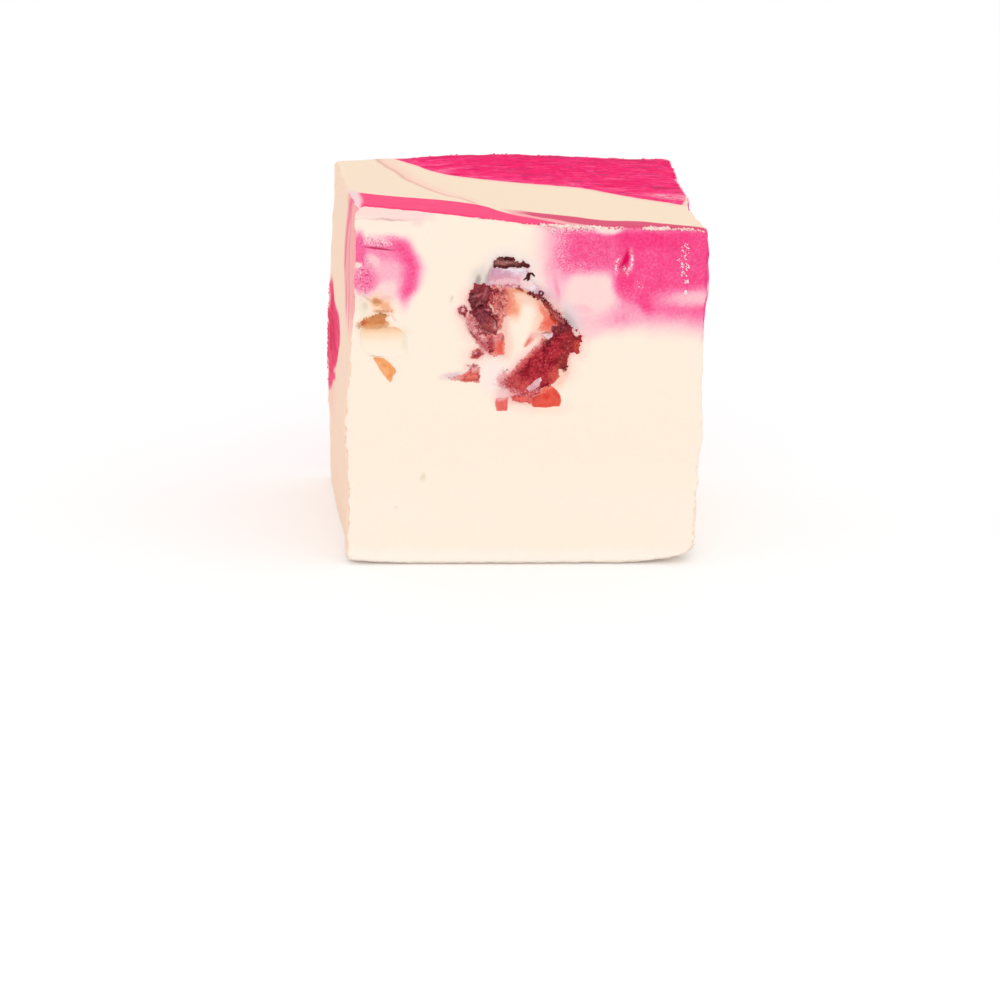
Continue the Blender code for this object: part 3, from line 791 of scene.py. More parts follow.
def boxGrid(xs, ys, zs):
    # a closed box with a grid on each side; the last list tells each face's side
    table, faces, sides = {}, [], []
    nx, ny, nz = len(xs) - 1, len(ys) - 1, len(zs) - 1

    def corner(i, j, k):
        return table.setdefault((i, j, k), len(table))

    def face(side, *corners):
        faces.append([corner(*c) for c in corners])
        sides.append(side)

    for i in range(nx):
        for k in range(nz):
            face(0, (i, 0, k), (i + 1, 0, k), (i + 1, 0, k + 1), (i, 0, k + 1))
            face(3, (i, ny, k), (i, ny, k + 1), (i + 1, ny, k + 1), (i + 1, ny, k))
    for j in range(ny):
        for k in range(nz):
            face(2, (0, j, k), (0, j, k + 1), (0, j + 1, k + 1), (0, j + 1, k))
            face(4, (nx, j, k), (nx, j + 1, k), (nx, j + 1, k + 1), (nx, j, k + 1))
    for i in range(nx):
        for j in range(ny):
            face(5, (i, j, 0), (i, j + 1, 0), (i + 1, j + 1, 0), (i + 1, j, 0))
            face(1, (i, j, nz), (i + 1, j, nz), (i + 1, j + 1, nz), (i, j + 1, nz))
    points = [None] * len(table)
    for (i, j, k), index in table.items():
        points[index] = (xs[i], ys[j], zs[k])
    return points, faces, sides


def bell(swells, along, up):
    total = np.zeros(len(along))
    for (a, b), rise, (wide, tall) in swells:
        total += rise * np.exp(-((along - a) / wide) ** 2 - ((up - b) / tall) ** 2)
    return total


def shapeBlock(home):
    # the plain box's points moved to the hand-cut block, edges rounded and corners worn
    half = np.array([block["width"], block["depth"], block["height"]]) / 2
    middle = np.array([0.0, 0.0, half[2]])

    def shares(places):
        # how far along the width, the depth and the height a place is, from 0 to 1
        return (places / (2 * half) + (0.5, 0.5, 0.0)).T

    radius = block["edgeRadius"]
    local = home - middle
    core = np.clip(local, -half + radius, half - radius)
    out = local - core
    out /= np.maximum(np.linalg.norm(out, axis=1, keepdims=True), 1e-9)
    points = middle + core + out * radius
    for (sx, sy, top), wear in block["cornerWear"].items():
        fromX = half[0] - sx * points[:, 0]
        fromY = half[1] - sy * points[:, 1]
        fromZ = 2 * half[2] - points[:, 2] if top else points[:, 2]
        short = np.maximum(0, wear - (fromX + fromY + fromZ))
        points = points + np.outer(short / 3, (-sx, -sy, -1 if top else 1))
    x, y, z = home.T
    share = shares(home)
    reach = block["crumbReach"]
    nearX = np.exp(-(half[0] - abs(x)) / reach)
    nearY = np.exp(-(half[1] - abs(y)) / reach)
    nearZ = np.exp(-(2 * half[2] - z) / reach)
    rough = noiseAt(home, block["crumbPitch"]) * block["crumbHeight"] * np.minimum(1, share[2] / 0.25)
    crumbs = np.stack([
        np.sign(x) * rough * nearX * np.maximum(nearY, nearZ),
        np.sign(y) * rough * nearY * np.maximum(nearX, nearZ),
        0.5 * rough * nearZ * np.maximum(nearX, nearY),
    ], axis=1)
    moved = points.copy()
    px, py, pz = shares(points)
    for (sx, sy, top), shift in block["cornerShift"].items():
        weight = (px if sx > 0 else 1 - px) * (py if sy > 0 else 1 - py) * (pz if top else 1 - pz)
        moved += np.outer(weight, shift)
    moved += crumbs
    right, left = bell(block["rightSwells"], y, z), bell(block["leftSwells"], y, z)
    moved[:, 0] += right * share[0] - left * (1 - share[0])
    moved[:, 2] += bell(block["topSwells"], x, y) * share[2]
    fromFront = y + half[1]
    lift = block["frontLift"] * np.exp(-fromFront**2)
    for side, start, high, power in block["baseCurls"]:
        out = np.maximum(0, (side * x - start) / (half[0] - start))
        lift += high * out**power * np.exp(-((fromFront / block["curlDepth"]) ** 2))
    lift[lift < block["leastLift"]] = 0
    moved[:, 2] += lift * np.maximum(0, 1 - z / block["curlHeight"]) ** 2
    return moved


def addPiece(name, slot, node, points, faces, looks, sides=None, sharp=40, fields=None):
    # a closed mesh with its places in mm; node is the CAD node that it stands for
    mesh = bpy.data.meshes.new(name)
    mesh.from_pydata([tuple(point) for point in np.asarray(points) * mm], [], faces)
    for look in looks:
        mesh.materials.append(look)
    if sides is not None:
        mesh.polygons.foreach_set("material_index", sides)
    mesh.shade_smooth()
    mesh.set_sharp_from_angle(angle=math.radians(sharp))
    for field, values in (fields or {}).items():
        mesh.attributes.new(field, "FLOAT", "POINT").data.foreach_set("value", values)
    mesh.update()
    piece = bpy.data.objects.new(name, mesh)
    bpy.context.scene.collection.objects.link(piece)
    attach(piece, "root")
    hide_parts(node)


def refine(home, faces, sides, zones):
    # split the front's faces inside each zone once more, so that small relief has points to stand on
    mesh = bpy.data.meshes.new("grid")
    mesh.from_pydata([tuple(point) for point in home], [], faces)
    mesh.polygons.foreach_set("material_index", sides)
    bm = bmesh.new()
    bm.from_mesh(mesh)
    front = -block["depth"] / 2 + hair
    for lowX, highX, lowZ, highZ in zones:
        inZone = {
            v for v in bm.verts
            if v.co.y < front and lowX < v.co.x < highX and lowZ < v.co.z < highZ
        }
        inside = [edge for edge in bm.edges if inZone.issuperset(edge.verts)]
        bmesh.ops.subdivide_edges(bm, edges=inside, cuts=1, use_grid_fill=True)
    home = np.array([v.co for v in bm.verts])
    faces = [[v.index for v in face.verts] for face in bm.faces]
    sides = [face.material_index for face in bm.faces]
    bm.free()
    bpy.data.meshes.remove(mesh)
    return home, faces, sides


# Outlines on the front face, as (x, z)
outlines = {
    "darkLobe": [
        (-5.2, 28.2), (-5.0, 28.5), (-4.8, 28.25), (-4.2, 28.15), (-3.3, 28.0), (-3.1, 27.6),
        (-3.5, 27.0), (-3.65, 26.4), (-3.4, 25.7), (-2.85, 25.3), (-2.6, 24.9), (-2.75, 24.4),
        (-2.5, 24.0), (-2.75, 23.6), (-2.85, 23.1), (-3.4, 23.2), (-3.9, 22.95), (-4.3, 23.5),
        (-4.7, 23.7), (-4.8, 24.3), (-5.2, 25.0), (-5.5, 25.8), (-5.8, 26.7), (-5.65, 27.3), (-5.3, 27.9),
    ],
    "redGrain": [
        (-3.9, 27.95), (-2.3, 28.0), (-1.7, 27.6), (-1.65, 26.9), (-1.8, 26.1), (-2.0, 25.3),
        (-2.2, 24.8), (-2.4, 24.3), (-2.45, 23.7), (-2.75, 23.6), (-2.9, 25.2), (-3.6, 25.8),
        (-4.0, 26.4), (-4.0, 27.2),
    ],
    "fringe": [
        (-5.6, 25.3), (-5.1, 25.0), (-4.7, 24.4), (-4.2, 23.8), (-3.1, 23.5), (-2.6, 23.4), (-2.7, 22.2),
        (-2.9, 21.3), (-3.5, 21.2), (-3.8, 21.7), (-4.15, 22.3), (-4.7, 22.6), (-5.05, 23.1),
        (-5.4, 23.8), (-5.7, 24.7),
    ],
    "orangeFoot": [
        (-3.1, 23.0), (-2.5, 23.5), (-2.2, 23.3), (-2.1, 22.4), (-2.1, 21.3), (-2.5, 21.2), (-3.1, 21.3),
    ],
    "drop": [
        (-5.35, 21.0), (-5.2, 21.5), (-4.75, 21.9), (-4.3, 21.85), (-4.1, 21.45), (-4.35, 21.1),
        (-4.8, 20.95),
    ],
    "rightLobe": [
        (1.5, 22.95), (2.15, 22.9), (2.4, 23.3), (2.35, 23.9), (2.85, 24.5), (3.6, 24.75), (4.4, 23.7),
        (4.8, 23.25), (5.4, 23.2), (5.3, 22.3), (5.15, 21.5), (4.7, 21.55), (4.3, 21.4), (4.15, 20.9),
        (4.15, 20.3), (3.95, 19.4), (3.55, 19.85), (3.2, 19.95), (3.35, 19.2), (3.1, 18.75), (2.5, 18.25),
        (1.7, 18.0), (1.3, 17.2), (0.5, 17.2), (0, 17.2), (-0.6, 17.35), (-1.3, 17.5), (-1.8, 17.95),
        (-2.15, 18.5), (-1.8, 19.15), (-1.05, 19.8), (-0.6, 20.5), (0, 21.05), (0.6, 21.65), (1.15, 22.1),
    ],
    "strip": [
        (-1.4, 17.05), (-1.15, 16.7), (-0.5, 16.5), (0.3, 16.5), (0.75, 16.35), (0.9, 17.2), (0.5, 17.5),
        (0, 17.4), (-0.6, 17.3), (-1.0, 17.35),
    ],
    "whiteChip": [(1.35, 23.4), (1.9, 23.5), (2.6, 23.5), (2.58, 23.0), (2.15, 22.78), (1.75, 23.05)],
    "paleInclusion": [
        (0.05, 17.95), (0.55, 18.5), (1.05, 18.95), (1.55, 19.15), (1.66, 18.8), (1.4, 18.2),
        (1.05, 17.8), (0.45, 17.6),
    ],
    "shard": [
        (-3.85, 26.7), (-3.5, 26.3), (-3.15, 26.0), (-3.1, 25.6), (-2.7, 25.45), (-2.9, 25.25),
        (-3.35, 25.2), (-3.75, 24.9), (-3.55, 25.25), (-3.35, 25.45), (-3.45, 25.85), (-3.7, 26.2),
    ],
    "fleshChip": [
        (0.7, 17.1), (0.55, 16.5), (0.8, 16.05), (2.1, 15.98), (2.7, 16.1), (3.45, 16.15), (3.57, 16.7),
        (3.45, 17.35), (3.1, 17.85), (2.6, 18.2), (2.0, 18.25), (1.65, 18.0), (1.3, 17.45),
    ],
    "smallChip": [
        (-2.85, 17.0), (-2.0, 17.0), (-1.55, 17.2), (-1.62, 16.4), (-1.7, 15.68), (-2.75, 15.68),
        (-2.9, 16.4),
    ],
    "shred": [
        (-7.6, 18.95), (-6.2, 19.3), (-5.6, 19.7), (-5.3, 20.25), (-4.8, 20.25), (-4.5, 19.8),
        (-4.35, 19.1), (-4.4, 18.5), (-5.2, 18.55), (-6.2, 18.6), (-7.1, 18.7),
    ],
    "flake": [
        (-3.45, 29.9), (-3.4, 30.4), (-2.85, 30.9), (-2.0, 30.95), (-1.4, 30.85), (-1.25, 30.5),
        (-0.7, 30.45), (-0.55, 30.65), (-0.4, 30.35), (0.05, 30.2), (0.2, 29.85), (0.05, 29.7),
        (-0.4, 29.95), (-1, 29.85), (-1.6, 29.9), (-2.0, 29.8), (-2.4, 29.85), (-2.9, 29.9),
    ],
    "veil": [
        (-3.5, 29.95), (0, 29.85), (0.1, 29.3), (0.3, 28.7), (0.7, 28.3), (1.2, 27.8), (1.6, 27.2),
        (1.1, 27.15), (0, 27.7), (-0.7, 27.9), (-2, 27.95), (-3.0, 28.05), (-3.9, 28.2),
    ],
    "nutSkin": [
        (-15.9, 24.6), (-15.6, 24.85), (-14.75, 25.15), (-14.2, 25.32), (-13.6, 25.42), (-13.32, 25.33),
        (-13.45, 25.0), (-13.6, 24.7), (-13.35, 24.35), (-13.2, 24.05), (-13.7, 23.85), (-14.6, 23.75),
        (-15.5, 23.8), (-16.1, 24.1), (-16.1, 24.4),
    ],
    "nutBit": [
        (-15.0, 26.6), (-14.8, 26.8), (-14.4, 26.75), (-14.2, 26.5), (-14.35, 26.25), (-14.75, 26.3),
    ],
    "nutFlesh": [
        (-16.0, 23.7), (-15.0, 23.75), (-13.6, 23.9), (-12.7, 24.0), (-12.1, 23.7), (-11.75, 23.1),
        (-11.6, 22.2), (-11.7, 21.3), (-12.3, 21.05), (-14, 21.1), (-15.5, 21.4), (-16.0, 22.2),
        (-16.05, 23.2),
    ],
    "nutSliver": [
        (-14.9, 21.05), (-13.75, 20.92), (-13.2, 20.5), (-12.65, 19.92), (-12.52, 19.5), (-12.85, 19.15),
        (-13.05, 18.4), (-13.55, 19.0), (-14.3, 20.0),
    ],
}

# Strands as (x, z, half width)
strands = {
    "rim": [
        (-1.4, 27.86, 0.05), (-0.6, 27.75, 0.08), (-0.1, 27.45, 0.13), (0.54, 27.27, 0.2),
        (1.2, 27.0, 0.24), (1.75, 26.5, 0.25), (2.1, 25.95, 0.25), (2.55, 25.45, 0.28), (3.0, 25.0, 0.29),
        (3.48, 24.62, 0.26), (3.8, 24.4, 0.16),
    ],
    "stalk": [
        (-6.1, 25.3, 0.16), (-5.85, 24.85, 0.14), (-5.6, 24.0, 0.13), (-5.32, 23.4, 0.13),
        (-4.75, 22.8, 0.12), (-4.1, 22.3, 0.08),
    ],
    "curlBody": [(-0.35, 28.7, 0.1), (-0.1, 28.95, 0.2), (0.08, 29.2, 0.22), (0.02, 28.7, 0.17)],
    "curlArm": [(0.1, 29.3, 0.14), (0.4, 29.32, 0.08), (0.7, 28.98, 0.05)],
    "peachStreak": [(-14.0, 26.1, 0.16), (-13.8, 25.9, 0.22), (-13.5, 25.7, 0.18)],
}


def toOutline(x, z, outline):
    # distance to a closed outline, below zero inside it
    best = np.full(x.shape, endless)
    inside = np.zeros(x.shape, bool)
    for (ax, az), (bx, bz) in zip(outline, outline[1:] + outline[:1]):
        ex, ez = bx - ax, bz - az
        share = np.clip(((x - ax) * ex + (z - az) * ez) / (ex * ex + ez * ez), 0, 1)
        best = np.minimum(best, np.hypot(x - ax - share * ex, z - az - share * ez))
        crosses = (az > z) != (bz > z)
        if ez:
            inside ^= crosses & (x < ax + (z - az) * ex / ez)
    return np.where(inside, -best, best)


def toStrand(x, z, strand):
    # distance to a string of tapering thickness, below zero inside it
    best = np.full(x.shape, endless)
    for (ax, az, aw), (bx, bz, bw) in zip(strand, strand[1:]):
        ex, ez = bx - ax, bz - az
        share = np.clip(((x - ax) * ex + (z - az) * ez) / (ex * ex + ez * ez), 0, 1)
        away = np.hypot(x - ax - share * ex, z - az - share * ez) - aw - (bw - aw) * share
        best = np.minimum(best, away)
    return best


def toRing(x, z, middle, radius, width):
    return abs(np.hypot(x - middle[0], z - middle[1]) - radius) - width


nutParts = ["nutSkin", "nutBit", "nutFlesh", "nutSliver"]
fruitParts = ["rim", "stalk"] + [name for name in outlines if name not in nutParts]


def nearest(x, z, names):
    # how far a place on the front is from the nearest of these outlines and strands
    best = np.full(x.shape, endless)
    for name in names:
        part = toOutline(x, z, outlines[name]) if name in outlines else toStrand(x, z, strands[name])
        best = np.minimum(best, part)
    return best


# Marks on the front: where, how far they reach, turn in degrees, how high (below 0 for a dent), how sharp
frontMarks = [
    {"at": (9.42, 30.8), "reach": (0.28, 0.85), "turn": 16, "rise": -0.2, "soft": 0.8},
    {"at": (9.1, 29.9), "reach": (0.35, 0.5), "turn": 10, "rise": -0.15, "soft": 0.6},
    {"at": (9.9, 30.4), "reach": (0.12, 1.0), "turn": 8, "rise": 0.08, "soft": 0.6},
    {"at": (-14.3, 31.7), "reach": (1.5, 0.09), "turn": 6, "rise": -0.18, "soft": 0.6},
    {"at": (-4.4, 29.5), "reach": (0.9, 1.3), "turn": 20, "rise": -0.16, "soft": 0.7},
    {"at": (4.6, 25.2), "reach": (0.9, 1.7), "turn": 30, "rise": -0.16, "soft": 0.7},
    {"at": (-9.8, 8.9), "reach": (0.2, 0.4), "turn": 10, "rise": -0.22, "soft": 0.7},
    {"at": (-12.4, 5.9), "reach": (0.15, 0.1), "turn": 0, "rise": -0.12, "soft": 0.7},
    {"at": (-7.3, 26.8), "reach": (0.14, 0.35), "turn": -20, "rise": -0.12, "soft": 0.7},
    {"at": (16.9, 10.2), "reach": (0.25, 0.15), "turn": 0, "rise": -0.15, "soft": 0.7},
    {"at": (-13.4, 34.3), "reach": (2.6, 0.12), "turn": 0, "rise": -0.05, "soft": 0.7},
    # hollow above the nut, with its ragged lip
    {"at": (-15.0, 26.2), "reach": (1.2, 0.75), "turn": 0, "rise": 0.14, "soft": 0.4},
    {"at": (-13.6, 25.9), "reach": (0.35, 0.7), "turn": 0, "rise": 0.1, "soft": 0.5},
]


def mark(x, z, spot):
    turn = math.radians(spot["turn"])
    dx, dz = x - spot["at"][0], z - spot["at"][1]
    along = (dx * math.cos(turn) - dz * math.sin(turn)) / spot["reach"][0]
    up = (dx * math.sin(turn) + dz * math.cos(turn)) / spot["reach"][1]
    far = np.hypot(along, up)
    share = np.clip((1 + spot["soft"] - far) / (2 * spot["soft"]), 0, 1)
    return spot["rise"] * share * share * (3 - 2 * share)


# Beds under the pieces, so that they don't float on the face; the relief fades out at its border
bed = {
    "depth": 0.3,
    "nutDepth": 0.07,
    "without": ("stalk", "nutFlesh", "nutBit"),
    "margin": 0.1,
    "slope": 0.2,
    "fade": 0.35,
}


def frontRelief(x, z, border):
    # how far the front face stands out at a place, in mm
    rise = np.zeros(len(x))
    for spot in frontMarks:
        rise = rise + mark(x, z, spot)
    deep = [name for name in fruitParts + nutParts if name not in bed["without"]]
    rise = rise - bed["depth"] * np.clip((-nearest(x, z, deep) - bed["margin"]) / bed["slope"], 0, 1)
    rise = rise - bed["nutDepth"] * np.clip(-nearest(x, z, ["nutFlesh"]) / bed["slope"], 0, 1)
    # a fine unevenness all over
    spots = np.stack([x, np.zeros(len(x)), z], axis=1)
    rise = rise + 0.02 * noiseAt(spots, 3.0, 7.0) + 0.012 * noiseAt(spots, 0.7, 3.0)
    return rise * (1 - np.exp(-np.maximum(0, border) / bed["fade"]))


# Where more is torn off an edge: middle, reach, how many times more
tornEdges = [
    {"at": (-17.4, 16.5, 15.0), "reach": (2, 2, 9), "more": 1.8},
    {"at": (17.4, -16.5, 3.5), "reach": (2, 2, 4), "more": 2.2},
    {"at": (10.0, -16.5, 0.0), "reach": (8, 2, 1.5), "more": 0.8},
    {"at": (3.5, -16.5, 35.0), "reach": (4, 2, 1.5), "more": 1.2},
    {"at": (-17.4, -16.5, 12.0), "reach": (2, 2, 7), "more": 1.0},
]


def raggedEdges(home, points):
    # crumbs torn from the cut edges, most where the knife dragged
    x, y, z = home.T
    width, depth, height = block["width"], block["depth"], block["height"]
    toX, toY = width / 2 - abs(x), depth / 2 - abs(y)
    toZ = np.minimum(z, height - z)
    near = [np.exp(-distance / block["tearReach"]) for distance in (toX, toY, toZ)]
    base = z < height / 2
    rough = 0.5 + noiseAt(home, 0.55, 11.0) + 0.5 * noiseAt(home, 0.22, 5.0)
    rough = np.clip(rough, 0, 1.4) * block["tearHeight"]
    torn = np.ones(len(x))
    for spot in tornEdges:
        far = ((home - spot["at"]) / spot["reach"]) ** 2
        torn += spot["more"] * np.exp(-far.sum(axis=1))
    inward = np.stack([
        -np.sign(x) * near[0] * np.maximum(near[1], near[2]),
        -np.sign(y) * near[1] * np.maximum(near[0], near[2]),
        np.where(base, 0.6, -0.6) * near[2] * np.maximum(near[0], near[1]),
    ], axis=1)
    return points + inward * (rough * torn)[:, None]


print("block")
half = (block["width"] / 2, block["depth"] / 2)
home, faces, sides = boxGrid(
    spread(-half[0], half[0]),
    spread(-half[1], half[1]),
    spread(0, block["height"]),
)
# where the front is refined: left, right, low and high end
zones = [
    (-17.4, 17.4, 0.5, 34.9),
    (-8.3, 5.9, 15.2, 31.2),  # round the fruit
    (-16.9, -11.0, 18.0, 33.0),  # round the nut
    (8.2, 10.6, 28.8, 32.2),  # round the slit
]
home, faces, sides = refine(np.array(home), faces, sides, zones)
points = raggedEdges(home, shapeBlock(home))
onFront = home[:, 1] < -half[1] + hair
border = np.minimum.reduce([half[0] - abs(home[:, 0]), home[:, 2], block["height"] - home[:, 2]])[onFront]
points[onFront, 1] -= frontRelief(points[onFront, 0], points[onFront, 2], border)
# nothing stands past the box of the CAD solids, nor below the floor
lowest = np.array(solidBox[0]) / mm + clearance
highest = np.array(solidBox[1]) / mm - clearance
lowest[2] = 0.0
points = np.clip(points, lowest, highest)
# in the order of the grid's sides
looks = [
    makeFront(),
    makeTop(),
    makeLeft(),
    makeHidden("fudge_back", hidden["back"]),
    makeHidden("fudge_right", hidden["right"]),
    makeHidden("fudge_base", hidden["base"]),
]
farOff = 99.0  # for points on the other sides
toFruit, toNut = np.full(len(points), farOff), np.full(len(points), farOff)
haloed = [name for name in fruitParts if name not in ("smallChip", "fleshChip", "shred")]
toFruit[onFront] = nearest(points[onFront, 0], points[onFront, 2], haloed)
toNut[onFront] = nearest(points[onFront, 0], points[onFront, 2], ["nutSkin", "nutBit"])
fields = {"toFruit": toFruit, "toNut": toNut}
addPiece("fudge", "fudge", "fudge_block", points, faces, looks, sides, fields=fields)
print("block faces", len(faces))


# Pieces set in the front face

def faceAt(x, z):
    # where the front face lies at a place, before its marks
    home = np.stack([x, np.full(x.shape, -half[1]), z], axis=1)
    return shapeBlock(home)[:, 1]


relief = {
    # the part of the face in which the pieces lie, searched in coarse steps
    "left": -17.5,
    "right": 17.5,
    "low": 14,
    "high": 34,
    "search": 0.2,
    "room": 0.5,
    # how deep the back of a piece lies in the face, and from which angle its edges are sharp
    "sunk": 0.9,
    "sharp": 55,
}


def gridOver(lowX, highX, lowZ, highZ, step):
    return np.meshgrid(np.arange(lowX, highX, step), np.arange(lowZ, highZ, step), indexing="ij")


def reliefPiece(name, slot, node, distance, height, look, step):
    # a piece with an outline, a worked front and a back sunk in the face
    # distance(x, z) is below zero inside the outline; height(x, z, inward) is its front in mm
    search, room = relief["search"], relief["room"]
    rough = gridOver(relief["left"], relief["right"], relief["low"], relief["high"], search)
    zone = np.argwhere(distance(*rough) < 0)
    lowX, lowZ = zone.min(axis=0) * search + (relief["left"], relief["low"]) - room
    highX, highZ = zone.max(axis=0) * search + (relief["left"], relief["low"]) + room
    gx, gz = gridOver(lowX, highX, lowZ, highZ, step)
    away = distance(gx, gz)
    inside = away < 0
    cell = inside[:-1, :-1] & inside[1:, :-1] & inside[1:, 1:] & inside[:-1, 1:]
    # a cell needs a neighbour both ways, or it would stand out as a spike
    padded = np.pad(cell, 1)
    across = padded[:-2, 1:-1] | padded[2:, 1:-1]
    upright = padded[1:-1, :-2] | padded[1:-1, 2:]
    cell &= across & upright
    # two cells that meet only at a corner would pinch the mesh, so one of them goes
    pinch = cell[:-1, :-1] & cell[1:, 1:] & ~cell[1:, :-1] & ~cell[:-1, 1:]
    cell[:-1, :-1] &= ~pinch
    pinch = cell[1:, :-1] & cell[:-1, 1:] & ~cell[:-1, :-1] & ~cell[1:, 1:]
    cell[1:, :-1] &= ~pinch
    # the outermost points move out to the outline
    slopeX, slopeZ = np.gradient(away, step)
    steep = np.maximum(slopeX**2 + slopeZ**2, 0.25)
    padded = np.pad(cell, 1)
    count = padded[1:, 1:].astype(int) + padded[:-1, 1:] + padded[1:, :-1] + padded[:-1, :-1]
    used = count > 0
    rim = used & (count < 4)
    move = np.where(rim, np.clip(-away, 0, step), 0) / steep
    px, pz = gx + slopeX * move, gz + slopeZ * move
    x, z = px[used], pz[used]
    total = len(x)
    index = np.full(gx.shape, -1)
    index[used] = np.arange(total)
    inward = np.maximum(0, -away[used])
    inward[rim[used]] = 0
    y = faceAt(x, z)
    fronts = np.stack([x, np.maximum(y - height(x, z, inward), lowest[1]), z], axis=1)
    backs = np.stack([x, y + relief["sunk"], z], axis=1)
    fields = {"inward": np.concatenate([inward, inward])}
    faces, borders = [], {}
    for i, k in np.argwhere(cell):
        loop = [index[i, k], index[i + 1, k], index[i + 1, k + 1], index[i, k + 1]]
        faces.append([int(v) for v in loop])
        faces.append([int(v) + total for v in reversed(loop)])
        for a, b in zip(loop, loop[1:] + loop[:1]):
            if (b, a) in borders:
                del borders[(b, a)]
            else:
                borders[(a, b)] = True
    for a, b in borders:
        faces.append([int(b), int(a), int(a) + total, int(b) + total])
    points = np.concatenate([fronts, backs])
    addPiece(name, slot, node, points, faces, [look], sharp=relief["sharp"], fields=fields)


def noiseGrid(x, z, pitch, shift):
    flat = np.stack([x.ravel(), np.zeros(x.size), z.ravel()], axis=1)
    return noiseAt(flat, pitch, shift).reshape(x.shape)


def ragged(x, z, amount, pitch, shift):
    coarse = noiseGrid(x, z, pitch * 2.2, shift)
    middle = noiseGrid(x, z, pitch, shift)
    fine = noiseGrid(x, z, pitch * 0.4, shift + 5)
    return amount * (0.9 * coarse + 0.8 * middle + 0.7 * fine)


def dome(inward, high, roll):
    return high * (1 - np.exp(-inward / roll))


# Fruit and nut

fruit = {
    "gloss": 0.4,
    "shine": 0.04,
    "softness": 0.05,
    # size of the grains in mm, and how strongly they darken and lighten the pulp
    "grain": 0.23,
    "mottle": 0.55,
    # from dark to light
    "skin": [(84, 24, 32), (110, 34, 42), (128, 46, 54), (150, 70, 78)],
    "rim": [(84, 26, 32), (120, 44, 50), (150, 66, 72)],
    "flake": [(60, 20, 24), (86, 30, 34), (112, 48, 50)],
    "crimson": [(136, 18, 36), (160, 32, 48), (186, 50, 62)],
    "coral": [(196, 80, 80), (228, 116, 112), (246, 160, 150)],
    "stalk": [(140, 50, 60), (190, 100, 106), (236, 176, 176)],
    "shred": [(206, 74, 70), (224, 98, 86), (236, 124, 108)],
    "chip": [(216, 68, 54), (226, 80, 64), (234, 94, 78)],
    "smallChip": [(228, 100, 94), (240, 120, 114)],
    "pale": [(226, 166, 178), (240, 200, 206), (250, 226, 226)],
    "darkGrain": (96, 8, 22),
    # the light grains are partly pale pulp and partly painted glints
    "paleGrainAndGlint": (222, 98, 96),
}


def evenly(tones):
    last = max(1, len(tones) - 1)
    return [(place / last, paint(tone)) for place, tone in enumerate(tones)]


def clouds(look, tones, size):
    cloud = look.noise(look.warped(look.place, 0.8, 0.3, 2.0), size * 3.2, 2.0, 0.6)
    return look.ramp(look.step(cloud, 0.34, 0.66), evenly(tones))


def mottled(look, colour, size, mottle, dark, light):
    # crushed wet grains, dark and light, over whatever colour is there; the light ones are partly painted
    # glints
    fine = look.noise(look.place, size, 2.0, 0.6)
    colour = look.blend(colour, paint(dark), mottle * look.step(fine, 0.47, 0.34))
    colour = look.blend(colour, paint(light), mottle * look.step(fine, 0.54, 0.7))
    look.bump(fine, 0.03)
    return colour


def thinned(look, colour, tone, width, where=1.0):
    # towards its outline the piece thins out and shows the tone of what lies under it
    edge = look.field("inward") + (look.noise(look.place, 0.3, 2.0, 0.6) - 0.5) * 1.4 * width
    return look.blend(colour, paint(tone), look.step(edge, width, 0.0) * where)


def makeGrained(
    name, tones, size, stains=(), mottle=0.45, dark=fruit["darkGrain"], light=fruit["paleGrainAndGlint"], edge=None
):
    # clouds of the tones under stains and grains; edge is a tone, a width and a strength
    look = Look(name, fruit["gloss"], fruit["softness"], fruit["shine"])
    colour = stained(look, clouds(look, tones, size), look.warped(look.place, 0.8, 0.2, 3.0), stains)
    colour = mottled(look, colour, size, mottle, dark, light)
    if edge:
        colour = thinned(look, colour, *edge)
    look.colour(colour)
    return look.material


